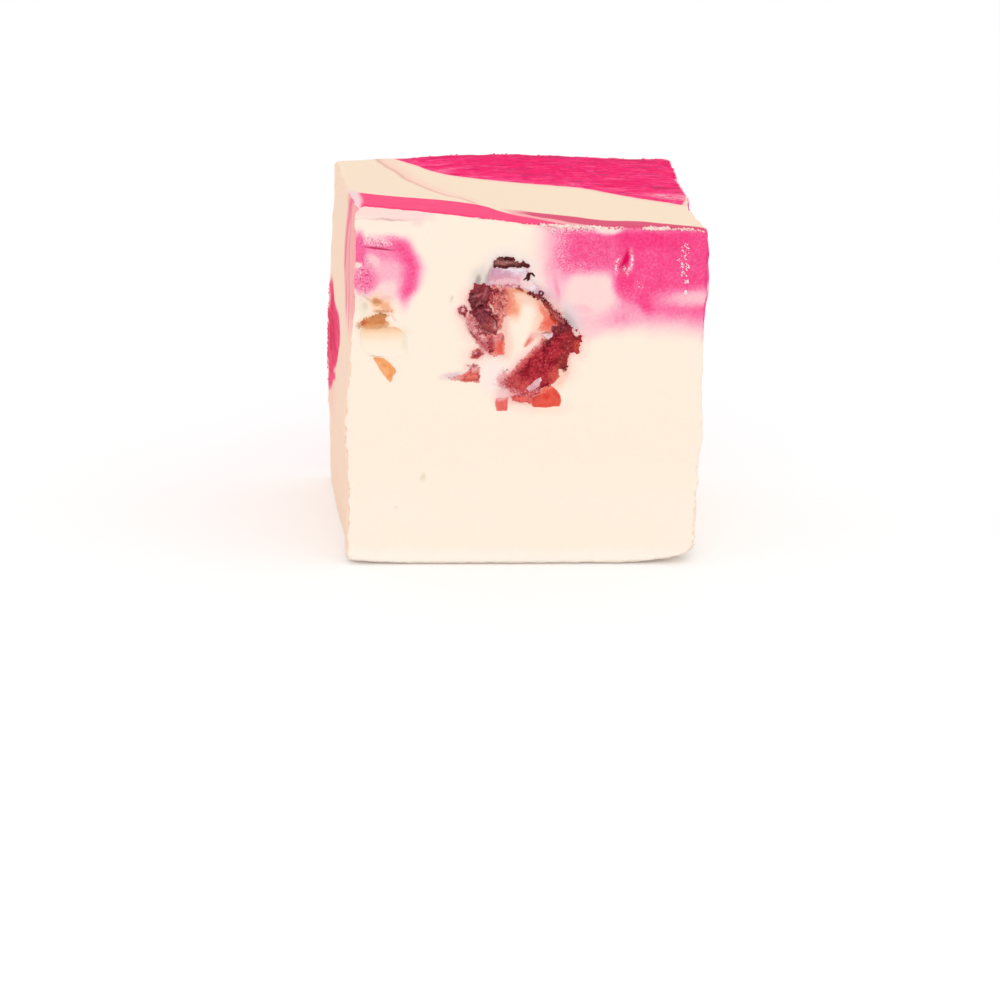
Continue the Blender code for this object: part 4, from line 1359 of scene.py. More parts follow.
# Stains on the pulp, like those on the face
pulpStains = [
    # right half: dark top, brown flap, bright borders, orange where it thins out
    ((112, 46, 56), 0.85, (3.1, 23.9), (1.0, 0.5), -8, 0.6, 1.2),
    ((100, 28, 36), 0.9, (2.0, 22.7), (0.65, 0.35), -5, 0.6, 1.0),
    ((146, 54, 46), 0.95, (3.75, 20.5), (0.65, 1.1), 8, 0.5, 0.8),
    ((104, 38, 34), 0.8, (3.7, 19.95), (0.5, 0.3), 0, 0.5, 1.4),
    ((150, 52, 52), 0.7, (4.3, 22.4), (0.8, 0.9), 0, 0.6, 1.4),
    ((216, 80, 66), 0.85, (4.95, 22.2), (0.25, 0.6), 0, 0.6, 0.6),
    ((110, 30, 40), 0.7, (5.0, 23.05), (0.5, 0.2), 0, 0.6, 0.8),
    ((222, 96, 98), 0.85, (-0.1, 20.75), (0.3, 2.6), 43, 0.6, 1.4),
    ((202, 84, 88), 0.75, (-1.3, 18.7), (0.9, 0.8), 0, 0.7, 1.4),
    ((216, 88, 84), 0.75, (0, 18.1), (0.9, 0.6), 20, 0.7, 1.4),
    ((218, 86, 78), 0.85, (2.9, 19.1), (0.7, 0.9), 20, 0.7, 1.4),
    ((250, 180, 150), 0.9, (3.45, 18.8), (0.32, 0.8), 20, 0.8, 0.8),
    ((226, 116, 122), 0.7, (-1.1, 17.6), (0.8, 0.3), 10, 0.5, 1.8),
    ((226, 104, 100), 0.8, (0.4, 17.2), (1.5, 0.35), 0, 0.7, 1.4),
    ((242, 112, 104), 0.9, (-0.2, 16.8), (1.3, 0.4), 0, 0.6, 0.8),
    # left half: salmon grains, pink fringe, crimson and orange feet
    ((140, 36, 48), 0.9, (-2.9, 27.6), (1.2, 0.4), 5, 0.6, 1.8),
    ((160, 46, 54), 0.7, (-3.5, 26.9), (0.4, 1.1), 0, 0.7, 1.8),
    ((246, 170, 154), 0.7, (-2.4, 25.8), (0.6, 1.3), 0, 0.6, 2.4),
    ((244, 150, 124), 0.85, (-1.85, 26.2), (0.4, 1.6), 0, 0.7, 1.2),
    ((170, 44, 54), 0.7, (-2.7, 26.5), (0.35, 0.6), 0, 0.6, 1.8),
    ((214, 132, 138), 0.95, (-5.2, 24.1), (0.6, 1.5), -25, 0.6, 0.6),
    ((246, 198, 200), 0.85, (-5.05, 24.3), (0.3, 1.0), -20, 0.7, 2.4),
    ((250, 206, 208), 0.9, (-4.85, 23.5), (0.35, 0.3), 0, 0.6, 1.2),
    ((142, 44, 56), 0.8, (-4.7, 23.9), (0.25, 0.8), -30, 0.6, 2.0),
    ((212, 92, 96), 0.85, (-4.2, 22.9), (0.8, 0.45), 25, 0.6, 1.4),
    ((246, 190, 186), 0.8, (-3.9, 22.6), (0.7, 0.4), 0, 0.5, 2.6),
    ((170, 44, 60), 0.9, (-3.45, 22.2), (0.45, 0.9), 0, 0.6, 1.2),
    ((236, 96, 76), 0.95, (-2.45, 21.9), (0.45, 0.75), 0, 0.6, 0.4),
    ((246, 150, 124), 0.8, (-2.15, 21.9), (0.14, 0.9), 0, 0.7, 0.4),
    ((230, 140, 140), 0.85, (-2.55, 23.2), (0.35, 0.5), 0, 0.7, 1.2),
    ((146, 24, 46), 0.9, (-4.7, 21.35), (0.5, 0.35), 0, 0.6),
    # a painted glint on the drop
    ((240, 170, 180), 0.8, (-4.95, 21.5), (0.14, 0.1), 0, 0.6),
]


def makeFlesh():
    # crimson pulp on the right, lighter coral pulp on the left
    look = Look("fruit_pulp", fruit["gloss"], fruit["softness"], fruit["shine"])
    crimson = clouds(look, fruit["crimson"], fruit["grain"])
    coral = clouds(look, fruit["coral"], fruit["grain"])
    colour = look.blend(crimson, coral, look.step(look.x, -2.2, -2.6))
    colour = stained(look, colour, look.warped(look.place, 0.8, 0.2, 3.0), pulpStains)
    # smooth where it is orange
    smooth = look.frontOval(look.place, (-2.45, 22.0), (0.55, 0.9))
    smooth = over(smooth, 0.5, look.frontOval(look.place, (3.0, 19.1), (0.8, 1.0)))
    coarse = look.noise(look.warped(look.place, 0.5, 0.15, 2.0), 0.36, 2.0, 0.6)
    left = (1 - smooth) * look.step(look.x, -1.6, -2.0) * look.step(look.z, 22.8, 23.6)
    colour = look.blend(colour, paint((204, 70, 72)), 0.65 * left * look.step(coarse, 0.47, 0.36))
    colour = look.blend(colour, paint((252, 190, 178)), 0.6 * left * look.step(coarse, 0.55, 0.66))
    mottle = fruit["mottle"] * (1 - 0.8 * smooth)
    colour = mottled(look, colour, fruit["grain"], mottle, fruit["darkGrain"], fruit["paleGrainAndGlint"])
    # thin everywhere but along the right border and at the drop
    thin = look.step(look.x - 0.63 * look.z, -11.6, -12.6)
    thin = over(thin, 0.2, look.frontOval(look.place, (-4.8, 21.4), (0.9, 0.7), soft=0.3))
    look.colour(thinned(look, colour, (236, 142, 134), 0.24, 0.9 * thin))
    return look.material


def makeVeil():
    # white at the top, lilac below, rosy and grainy where it meets the fruit
    look = Look("fruit_veil", 0.45, 0.1, fruit["shine"])
    at = look.warped(look.place, 1.0, 0.25, 3.0)
    colour = clouds(look, [(206, 166, 186), (226, 192, 208), (238, 218, 230)], 0.3)
    colour = stained(look, colour, at, [
        ((250, 244, 248), 0.9, (-1.2, 29.9), (1.8, 0.3), 0, 0.6, 1.2),
        # painted shadow along the veil's left edge
        ((180, 140, 160), 0.85, (-3.6, 29.1), (0.3, 1.1), 22, 0.6, 0.8),
        ((204, 160, 180), 0.7, (-2.9, 29.2), (0.6, 0.8), 20, 0.6, 1.0),
        ((232, 150, 166), 0.85, (-1.9, 28.6), (1.9, 0.5), 0, 0.8, 1.0),
        ((214, 150, 170), 0.6, (-2.6, 29.0), (1.0, 0.8), 10, 0.8, 1.6),
        ((196, 86, 100), 0.85, (-2.3, 28.25), (1.7, 0.45), 0, 0.5, 3.0),
        ((250, 214, 220), 0.7, (-2.2, 28.5), (1.6, 0.3), 0, 0.5, 3.0),
        ((250, 230, 226), 0.95, (0.1, 28.5), (0.7, 0.8), -20, 0.6, 1.0),
        ((240, 180, 184), 0.35, (-0.2, 28.2), (0.6, 0.4), -20, 0.6, 2.2),
        ((206, 160, 178), 0.8, (1.2, 27.6), (0.5, 0.5), -30, 0.6, 1.4),
        ((244, 210, 214), 0.8, (-0.6, 27.95), (0.7, 0.15), 0, 0.6, 1.4),
    ])
    look.colour(thinned(look, colour, (226, 176, 186), 0.16, 0.8))
    look.bump(look.noise(look.place, 0.22, 2.0, 0.7), 0.04)
    return look.material


def makeNutFlesh():
    look = Look("nut_flesh", fudge["roughness"], 0.0, fudge["shine"])
    x, _, z = look.split(look.warped(look.place, 1.2, 0.2, 2.0))
    tones = [(255, 238, 220), (254, 234, 212), (252, 220, 188), (240, 188, 144)]
    places = (0.0, 0.45, 0.8, 1.0)
    colour = look.ramp(look.step(z, 20.9, 24.3), [(place, paint(tone)) for place, tone in zip(places, tones)])
    # painted grey-green shade along the right and the left edge
    right = look.step(x, -12.3, -11.8) * look.step(z, 21.3, 22.3)
    colour = look.blend(colour, paint((236, 226, 202)), right * 0.8)
    left = look.step(x, -15.7, -16.0) * look.step(z, 21.9, 22.5)
    colour = look.blend(colour, paint((236, 224, 206)), left * 0.5)
    look.colour(thinned(look, colour, (255, 237, 220), 0.14, look.step(z, 23.4, 22.6)))
    return look.material


def makeNutSkin():
    look = Look("nut_skin_brown", 0.5, 0.3, 0.2)
    at = look.warped(look.place, 0.7, 0.15, 2.0)
    grain = look.noise(look.place, 0.45, 3.0, 0.6)
    colour = look.ramp(look.step(grain, 0.3, 0.7), evenly([(202, 124, 68), (212, 134, 78), (222, 146, 92)]))
    colour = stained(look, colour, at, [
        ((182, 128, 84), 0.7, (-13.8, 25.3), (0.6, 0.18), -5, 0.6),
        ((208, 92, 52), 0.9, (-15.75, 24.3), (0.3, 0.35), 0, 0.6, 1.0),
        # painted shade at the left edge of the hollow
        ((130, 70, 60), 0.7, (-15.95, 24.3), (0.2, 0.3), 0, 0.6, 1.6),
        ((234, 170, 114), 0.8, (-14.4, 23.95), (1.5, 0.3), 0, 0.7),
        ((240, 190, 150), 0.8, (-13.3, 24.1), (0.4, 0.4), 0, 0.7),
    ])
    look.colour(thinned(look, colour, (242, 182, 136), 0.2, look.step(look.z, 24.7, 24.1)))
    look.bump(grain, 0.03)
    return look.material


def joined(names, amount, pitch, shift, rings):
    # the distance to several outlines, strands and rings together, with a torn edge
    def distance(x, z):
        best = nearest(x, z, names)
        for middle, radius, width in rings:
            best = np.minimum(best, toRing(x, z, middle, radius, width))
        return best + ragged(x, z, amount, pitch, shift)
    return distance


def wrinkled(high, roll, amount, pitch, shift, folds, raised):
    # a low dome with fine ridges, and folds laid along their paths
    def height(x, z, inward):
        ridge = 1 - 2 * abs(noiseGrid(x, z, pitch, shift))
        fine = noiseGrid(x, z, pitch * 0.35, shift + 3)
        room = np.minimum(1, inward / 0.2)
        shape = dome(inward, high, roll) + (amount * (ridge - 0.7) + 0.35 * amount * fine) * room
        for path, width, rise in folds:
            along = [(ax, az, 0.0) for ax, az in path]
            shape = shape + rise * np.exp(-(toStrand(x, z, along) / width) ** 2) * room
        return shape + raised
    return height


# Folds of the peel: path (x, z), width, height, below zero for a crease
skinFolds = [
    ([(-5.2, 27.6), (-4.7, 26.9), (-4.5, 26.1), (-4.0, 25.4), (-3.3, 24.6), (-2.9, 23.9)], 0.16, 0.09),
    ([(-5.5, 26.5), (-5.1, 25.7), (-4.6, 24.9), (-3.9, 24.1), (-3.3, 23.5)], 0.14, 0.08),
    ([(-4.3, 27.9), (-3.9, 27.2), (-4.2, 26.5)], 0.12, 0.08),
    ([(-4.8, 26.4), (-4.2, 25.8), (-3.6, 25.1), (-3.1, 24.3)], 0.1, -0.12),
    ([(-5.2, 25.3), (-4.5, 24.4), (-3.8, 23.6)], 0.1, -0.12),
    ([(-3.4, 23.2), (-3.2, 22.5), (-3.3, 21.8)], 0.12, 0.08),
    ([(-4.35, 26.2), (-4.25, 26.15)], 0.12, -0.2),
    ([(-3.45, 25.1), (-3.15, 24.75), (-2.95, 24.3)], 0.16, -0.22),
    ([(-3.45, 24.85), (-3.2, 24.4), (-3.25, 24.0)], 0.09, 0.12),
]

print("fruit and nut")
skinLook = makeGrained("fruit_peel", fruit["skin"], 0.18, [
    ((78, 36, 44), 0.6, (-5.3, 26.7), (0.45, 0.8), 0, 0.6, 0.8),
    ((140, 50, 60), 0.7, (-4.2, 27.4), (0.9, 0.6), 0, 0.7, 1.0),
    ((136, 56, 72), 0.8, (-4.2, 24.6), (0.35, 1.1), 20, 0.6, 1.0),
    ((108, 28, 42), 0.7, (-4.75, 24.6), (0.14, 0.8), -25, 0.6, 1.4),
    ((190, 112, 116), 0.7, (-4.9, 27.1), (0.6, 0.1), -20, 0.6, 1.8),
    ((182, 104, 108), 0.7, (-4.6, 26.5), (0.14, 0.5), 40, 0.6, 1.8),
    ((186, 108, 110), 0.7, (-4.1, 27.5), (0.14, 0.5), 15, 0.6, 1.8),
    ((168, 84, 88), 0.75, (-4.6, 23.9), (0.5, 0.4), -30, 0.6, 1.6),
    ((196, 90, 88), 0.85, (-3.4, 24.0), (0.6, 0.8), 0, 0.6, 1.4),
    ((150, 76, 92), 0.6, (-4.7, 25.0), (0.2, 0.5), 30, 0.7, 0.8),
    ((208, 96, 94), 0.85, (-3.15, 24.5), (0.3, 0.75), 0, 0.6, 1.6),
    ((120, 54, 60), 0.5, (-3.4, 23.6), (0.7, 0.4), 20, 0.7, 1.4),
    ((196, 116, 112), 0.85, (-2.75, 24.0), (0.24, 0.6), 0, 0.6, 2.0),
    # painted shade in the crease of a fold
    ((108, 12, 22), 0.95, (-3.15, 24.75), (0.17, 0.55), -30, 0.5, 0.5),
    ((196, 116, 118), 0.7, (-3.8, 23.5), (0.6, 0.08), 12, 0.6, 1.4),
    ((190, 110, 112), 0.6, (-4.5, 24.1), (0.1, 0.45), -30, 0.6, 1.8),
    # painted highlight along the ridge beside that crease
    ((244, 180, 174), 0.9, (-3.16, 24.35), (0.13, 0.4), -8, 0.6, 1.2),
    ((150, 78, 84), 0.7, (-3.3, 24.4), (0.12, 0.5), -8, 0.6),
    ((220, 130, 132), 0.85, (-3.75, 25.75), (0.35, 0.1), 10, 0.7),
    # painted shade in two small holes
    ((44, 12, 18), 0.95, (-4.38, 26.18), (0.16, 0.1), 0, 0.5),
    ((50, 12, 18), 0.95, (-3.52, 25.78), (0.1, 0.12), 0, 0.5),
], mottle=0.5, dark=(58, 12, 20), light=(186, 98, 102), edge=((164, 62, 68), 0.22, 0.8))
rimLook = makeGrained("fruit_rim", fruit["rim"], 0.2, [
    ((196, 104, 80), 0.85, (-0.7, 27.8), (1.0, 0.2), 0, 0.6, 0.8),
    ((206, 84, 66), 0.8, (1.7, 26.2), (1.6, 0.16), 43, 0.6, 1.4),
    ((150, 84, 100), 0.6, (3.0, 25.4), (1.1, 0.1), 43, 0.6, 1.4),
    ((58, 16, 28), 0.9, (3.7, 24.5), (0.4, 0.25), 0, 0.6, 0.8),
    ((206, 110, 108), 0.7, (3.0, 25.1), (0.8, 0.2), 43, 0.5, 2.6),
], mottle=0.6)
flakeLook = makeGrained("fruit_flake", fruit["flake"], 0.2, [
    # painted highlight along a fold of the flake
    ((190, 126, 120), 0.9, (-2.2, 30.35), (0.9, 0.2), 0, 0.6, 1.8),
    ((174, 110, 106), 0.8, (-2.9, 30.5), (0.4, 0.2), 0, 0.5, 2.2),
], mottle=0.6, dark=(40, 8, 12), light=(140, 80, 78))
fleshLook = makeFlesh()
chipLook = makeGrained("fruit_chip", fruit["chip"], 0.3, [
    ((222, 86, 74), 0.8, (1.1, 17.1), (0.5, 0.6), 0, 0.7, 1.4),
    ((176, 48, 52), 0.7, (0.9, 17.5), (0.5, 0.45), 0, 0.6, 2.2),
    ((250, 150, 134), 0.6, (1.4, 17.75), (0.5, 0.35), 0, 0.6, 2.4),
    ((244, 140, 112), 0.8, (2.1, 18.2), (0.8, 0.25), 0, 0.7, 0.8),
    ((180, 100, 76), 0.7, (2.3, 16.02), (1.4, 0.06), 0, 0.6, 0.6),
], mottle=0.06, edge=((240, 140, 118), 0.16, 0.8))
smallChipLook = makeGrained("fruit_small_chip", fruit["smallChip"], 0.3, [
    ((244, 178, 176), 0.9, (-2.2, 17.1), (0.8, 0.35), 0, 0.7, 0.8),
    ((206, 84, 76), 0.6, (-1.65, 16.2), (0.15, 0.7), 0, 0.6, 0.8),
], mottle=0.06, edge=((240, 160, 152), 0.16, 0.8))
shredLook = makeGrained("fruit_shred", fruit["shred"], 0.24, [
    ((240, 180, 178), 0.8, (-6.9, 18.95), (0.7, 0.25), 0, 0.7, 1.4),
    ((160, 50, 56), 0.7, (-4.5, 19.1), (0.14, 0.6), 0, 0.6, 1.2),
    ((240, 178, 176), 0.8, (-5.0, 20.0), (0.6, 0.45), 0, 0.6, 2.0),
    ((190, 60, 62), 0.6, (-5.3, 18.75), (0.8, 0.12), 4, 0.6, 1.6),
], mottle=0.5, edge=((240, 176, 172), 0.18, 0.8))
stalkLook = makeGrained("fruit_stalk", fruit["stalk"], 0.22, edge=((232, 170, 168), 0.07, 0.7))
paleLook = makeGrained("fruit_pale", fruit["pale"], 0.3, [
    ((206, 108, 124), 0.8, (0.9, 17.7), (0.6, 0.22), 0, 0.7, 0.6),
    ((216, 140, 152), 0.6, (0.7, 18.1), (0.45, 0.5), 0, 0.8, 1.2),
    ((226, 196, 200), 0.8, (2.2, 23.1), (0.45, 0.35), 0, 0.7),
    ((242, 180, 168), 0.9, (-3.3, 25.8), (1.0, 1.2), 0, 0.5),
    ((196, 100, 98), 0.6, (-3.5, 25.2), (0.6, 0.3), 0, 0.6, 1.6),
    # painted shade in a small hole
    ((70, 14, 20), 0.9, (-3.5, 25.8), (0.1, 0.13), 0, 0.5),
], mottle=0.1, edge=((206, 124, 120), 0.07, 0.7))
sliverLook = makeGrained("nut_sliver", [(238, 148, 90), (244, 162, 102), (248, 176, 120)], 0.4, [
    ((196, 140, 104), 0.8, (-14.0, 20.98), (0.9, 0.1), 4, 0.6, 0.6),
    ((250, 186, 136), 0.6, (-14.2, 20.2), (0.2, 1.1), -45, 0.7),
    ((206, 140, 110), 0.6, (-12.6, 19.5), (0.12, 0.3), 0, 0.6, 1.4),
], mottle=0.05, edge=((250, 196, 152), 0.1, 0.8))
bitLook = makeGrained("nut_bits", [(190, 120, 74), (220, 152, 108), (246, 190, 152)], 0.3, [
    ((246, 182, 144), 0.85, (-13.75, 25.95), (0.6, 0.4), 0, 0.7, 1.0),
    ((204, 134, 84), 0.8, (-14.6, 26.5), (0.4, 0.3), 0, 0.7, 0.8),
], mottle=0.3, dark=(150, 90, 56), light=(250, 212, 184), edge=((248, 206, 174), 0.14, 0.9))

# Each piece: the outlines it is made of; how torn its outline is (amount, size, noise's place);
# its front (height, roll of the edge, ridges, their size, noise's place) and the size of its grid
setPieces = {
    "flesh": {
        "parts": ["redGrain", "fringe", "orangeFoot", "rightLobe", "strip", "drop"],
        "torn": (0.22, 0.3, 1.0),
        "front": (0.1, 0.25, 0.07, 0.32, 2.0),
        "look": fleshLook,
        "slot": "fruit_flesh",
        "node": "dried_fruit",
        "step": 0.065,
    },
    "skin": {
        "parts": ["darkLobe"],
        "torn": (0.26, 0.42, 4.0),
        "front": (0.16, 0.25, 0.09, 0.42, 6.0),
        "folds": skinFolds,
        "look": skinLook,
        "slot": "fruit_skin",
        "node": "dried_fruit",
        "step": 0.065,
    },
    "veil": {
        "parts": ["veil"],
        "torn": (0.12, 0.25, 9.0),
        "front": (0.05, 0.15, 0.04, 0.35, 8.0),
        "look": makeVeil(),
        "slot": "fruit_flesh",
        "node": "dried_fruit",
        "step": 0.07,
    },
    "rim": {
        "parts": ["rim"],
        "torn": (0.22, 0.24, 2.0),
        "front": (0.2, 0.12, 0.12, 0.28, 5.0),
        "look": rimLook,
        "slot": "fruit_skin",
        "node": "dried_fruit",
        "step": 0.05,
    },
    "flake": {
        "parts": ["flake"],
        "torn": (0.14, 0.22, 7.0),
        "front": (0.17, 0.12, 0.12, 0.32, 1.0),
        "look": flakeLook,
        "slot": "fruit_skin",
        "node": "fruit_skin_flake",
        "step": 0.055,
    },
    "curl": {
        "parts": ["curlBody", "curlArm"],
        "rings": [((1.32, 27.4), 0.2, 0.09)],
        "torn": (0.06, 0.16, 3.0),
        "front": (0.2, 0.1, 0.05, 0.3, 2.0),
        "look": flakeLook,
        "slot": "fruit_skin",
        "node": "dried_fruit",
        "step": 0.045,
    },
    "stalk": {
        "parts": ["stalk"],
        "rings": [((-6.2, 25.68), 0.33, 0.18)],
        "torn": (0.1, 0.22, 1.0),
        "front": (0.18, 0.1, 0.06, 0.3, 3.0),
        "look": stalkLook,
        "slot": "fruit_skin",
        "node": "dried_fruit",
        "step": 0.045,
    },
    "large_chip": {
        "parts": ["fleshChip"],
        "torn": (0.05, 0.6, 3.0),
        "front": (0.08, 0.3, 0.02, 1.1, 3.0),
        "look": chipLook,
        "slot": "fruit_flesh",
        "node": "fruit_flesh_chip",
        "step": 0.08,
    },
    "small_chip": {
        "parts": ["smallChip"],
        "torn": (0.05, 0.5, 2.0),
        "front": (0.08, 0.25, 0.03, 0.8, 4.0),
        "look": smallChipLook,
        "slot": "fruit_flesh",
        "node": "fruit_small_chip",
        "step": 0.08,
    },
    "shred": {
        "parts": ["shred"],
        "torn": (0.1, 0.35, 5.0),
        "front": (0.12, 0.15, 0.08, 0.4, 5.0),
        "look": shredLook,
        "slot": "fruit_flesh",
        "node": "fruit_shred",
        "step": 0.06,
    },
    "pale_bits": {
        "parts": ["whiteChip", "paleInclusion", "shard"],
        "torn": (0.08, 0.3, 6.0),
        "front": (0.24, 0.1, 0.05, 0.4, 6.0),
        "look": paleLook,
        "slot": "fruit_flesh",
        "node": "dried_fruit",
        "step": 0.05,
    },
    "nut": {
        "parts": ["nutFlesh"],
        "torn": (0.05, 0.8, 1.0),
        "front": (0.04, 0.6, 0.004, 1.4, 1.0),
        "raised": 0.02,
        "look": makeNutFlesh(),
        "slot": "nut_kernel",
        "node": "nut_piece",
        "step": 0.09,
    },
    "nut_skin": {
        "parts": ["nutSkin"],
        "torn": (0.2, 0.3, 2.0),
        "front": (-0.1, 0.3, 0.05, 0.5, 1.0),
        "raised": 0.03,
        "look": makeNutSkin(),
        "slot": "nut_skin",
        "node": "nut_piece",
        "step": 0.06,
    },
    "nut_bits": {
        "parts": ["nutBit", "peachStreak"],
        "torn": (0.16, 0.3, 3.0),
        "front": (0.16, 0.2, 0.06, 0.4, 2.0),
        "look": bitLook,
        "slot": "nut_skin",
        "node": "nut_piece",
        "step": 0.06,
    },
    "amber_sliver": {
        "parts": ["nutSliver"],
        "torn": (0.04, 0.5, 4.0),
        "front": (0.08, 0.15, 0.02, 0.8, 3.0),
        "look": sliverLook,
        "slot": "nut_skin",
        "node": "nut_sliver",
        "step": 0.07,
    },
}
for name, piece in setPieces.items():
    distance = joined(piece["parts"], *piece["torn"], piece.get("rings", ()))
    height = wrinkled(*piece["front"], piece.get("folds", ()), piece.get("raised", 0.0))
    reliefPiece(name, piece["slot"], piece["node"], distance, height, piece["look"], piece["step"])


# Crumbs

def makeCrumb(name, tones):
    look = Look(name, 0.5, 0.0, fruit["shine"])
    grain = look.noise(look.place, 0.5, 3.0, 0.6)
    look.colour(look.ramp(look.step(grain, 0.3, 0.7), evenly(tones)))
    return look.material


def fallen(heap, draw):
    # where one crumb of a heap lies: round a strand (x, z, spread) on the front, or along an edge
    if "strand" in heap:
        path = heap["strand"]
        first = draw.randrange(len(path) - 1) if len(path) > 1 else 0
        share = draw.random()
        a, b = path[first], path[min(first + 1, len(path) - 1)]
        x, z, wide = [(1 - share) * p + share * q for p, q in zip(a, b)]
        turn, away = draw.uniform(0, 2 * math.pi), wide * math.sqrt(draw.random())
        x, z = x + away * math.cos(turn), z + away * math.sin(turn)
        face = float(faceAt(np.array([x]), np.array([z]))[0])
        return np.array([x, face - heap.get("lift", 0.0), z])
    share = draw.random()
    a, b = heap["edge"]
    spot = [
        (1 - share) * p + share * q + draw.gauss(0, 1) * wide
        for p, q, wide in zip(a, b, heap["spread"])
    ]
    return shapeBlock(np.array([spot]))[0]


# how a crumb is stretched along x, y and z, and how deep and how large its dents are
grit = {"stretch": [(0.7, 1.3), (0.5, 0.8), (0.7, 1.3)], "dent": 0.45, "dentSize": 0.9}


def crumbPiece(name, slot, node, look, heaps, seed):
    # small torn grains, half sunk in the surface
    draw = random.Random(seed)
    bm = bmesh.new()
    bmesh.ops.create_icosphere(bm, subdivisions=2, radius=1.0)
    ball = np.array([v.co for v in bm.verts])
    ballFaces = np.array([[v.index for v in face.verts] for face in bm.faces])
    bm.free()
    spots = [(heap["size"], fallen(heap, draw)) for heap in heaps for _ in range(heap["count"])]
    points, faces = [], []
    for (low, high), middle in spots:
        size = low + (high - low) * draw.random() ** 2
        stretch = np.array([draw.uniform(*span) for span in grit["stretch"]])
        spin = np.array(Matrix.Rotation(draw.uniform(0, 6.28), 3, Vector((draw.random(), 1, draw.random()))))
        dent = 1 + grit["dent"] * noiseAt(ball, grit["dentSize"], draw.uniform(0, 50))
        faces.extend((ballFaces + len(points) * len(ball)).tolist())
        points.append((ball * dent[:, None] * stretch * size / 2) @ spin.T + middle)
    points = np.clip(np.concatenate(points), lowest, highest)
    addPiece(name, slot, node, points, faces, [look])


print("crumbs")
# the edges of the block on which crumbs lie
rightEdge, frontEdge, backEdge = half[0] - 0.05, -half[1], half[1] - 0.1
topEdge = block["height"] - 0.05

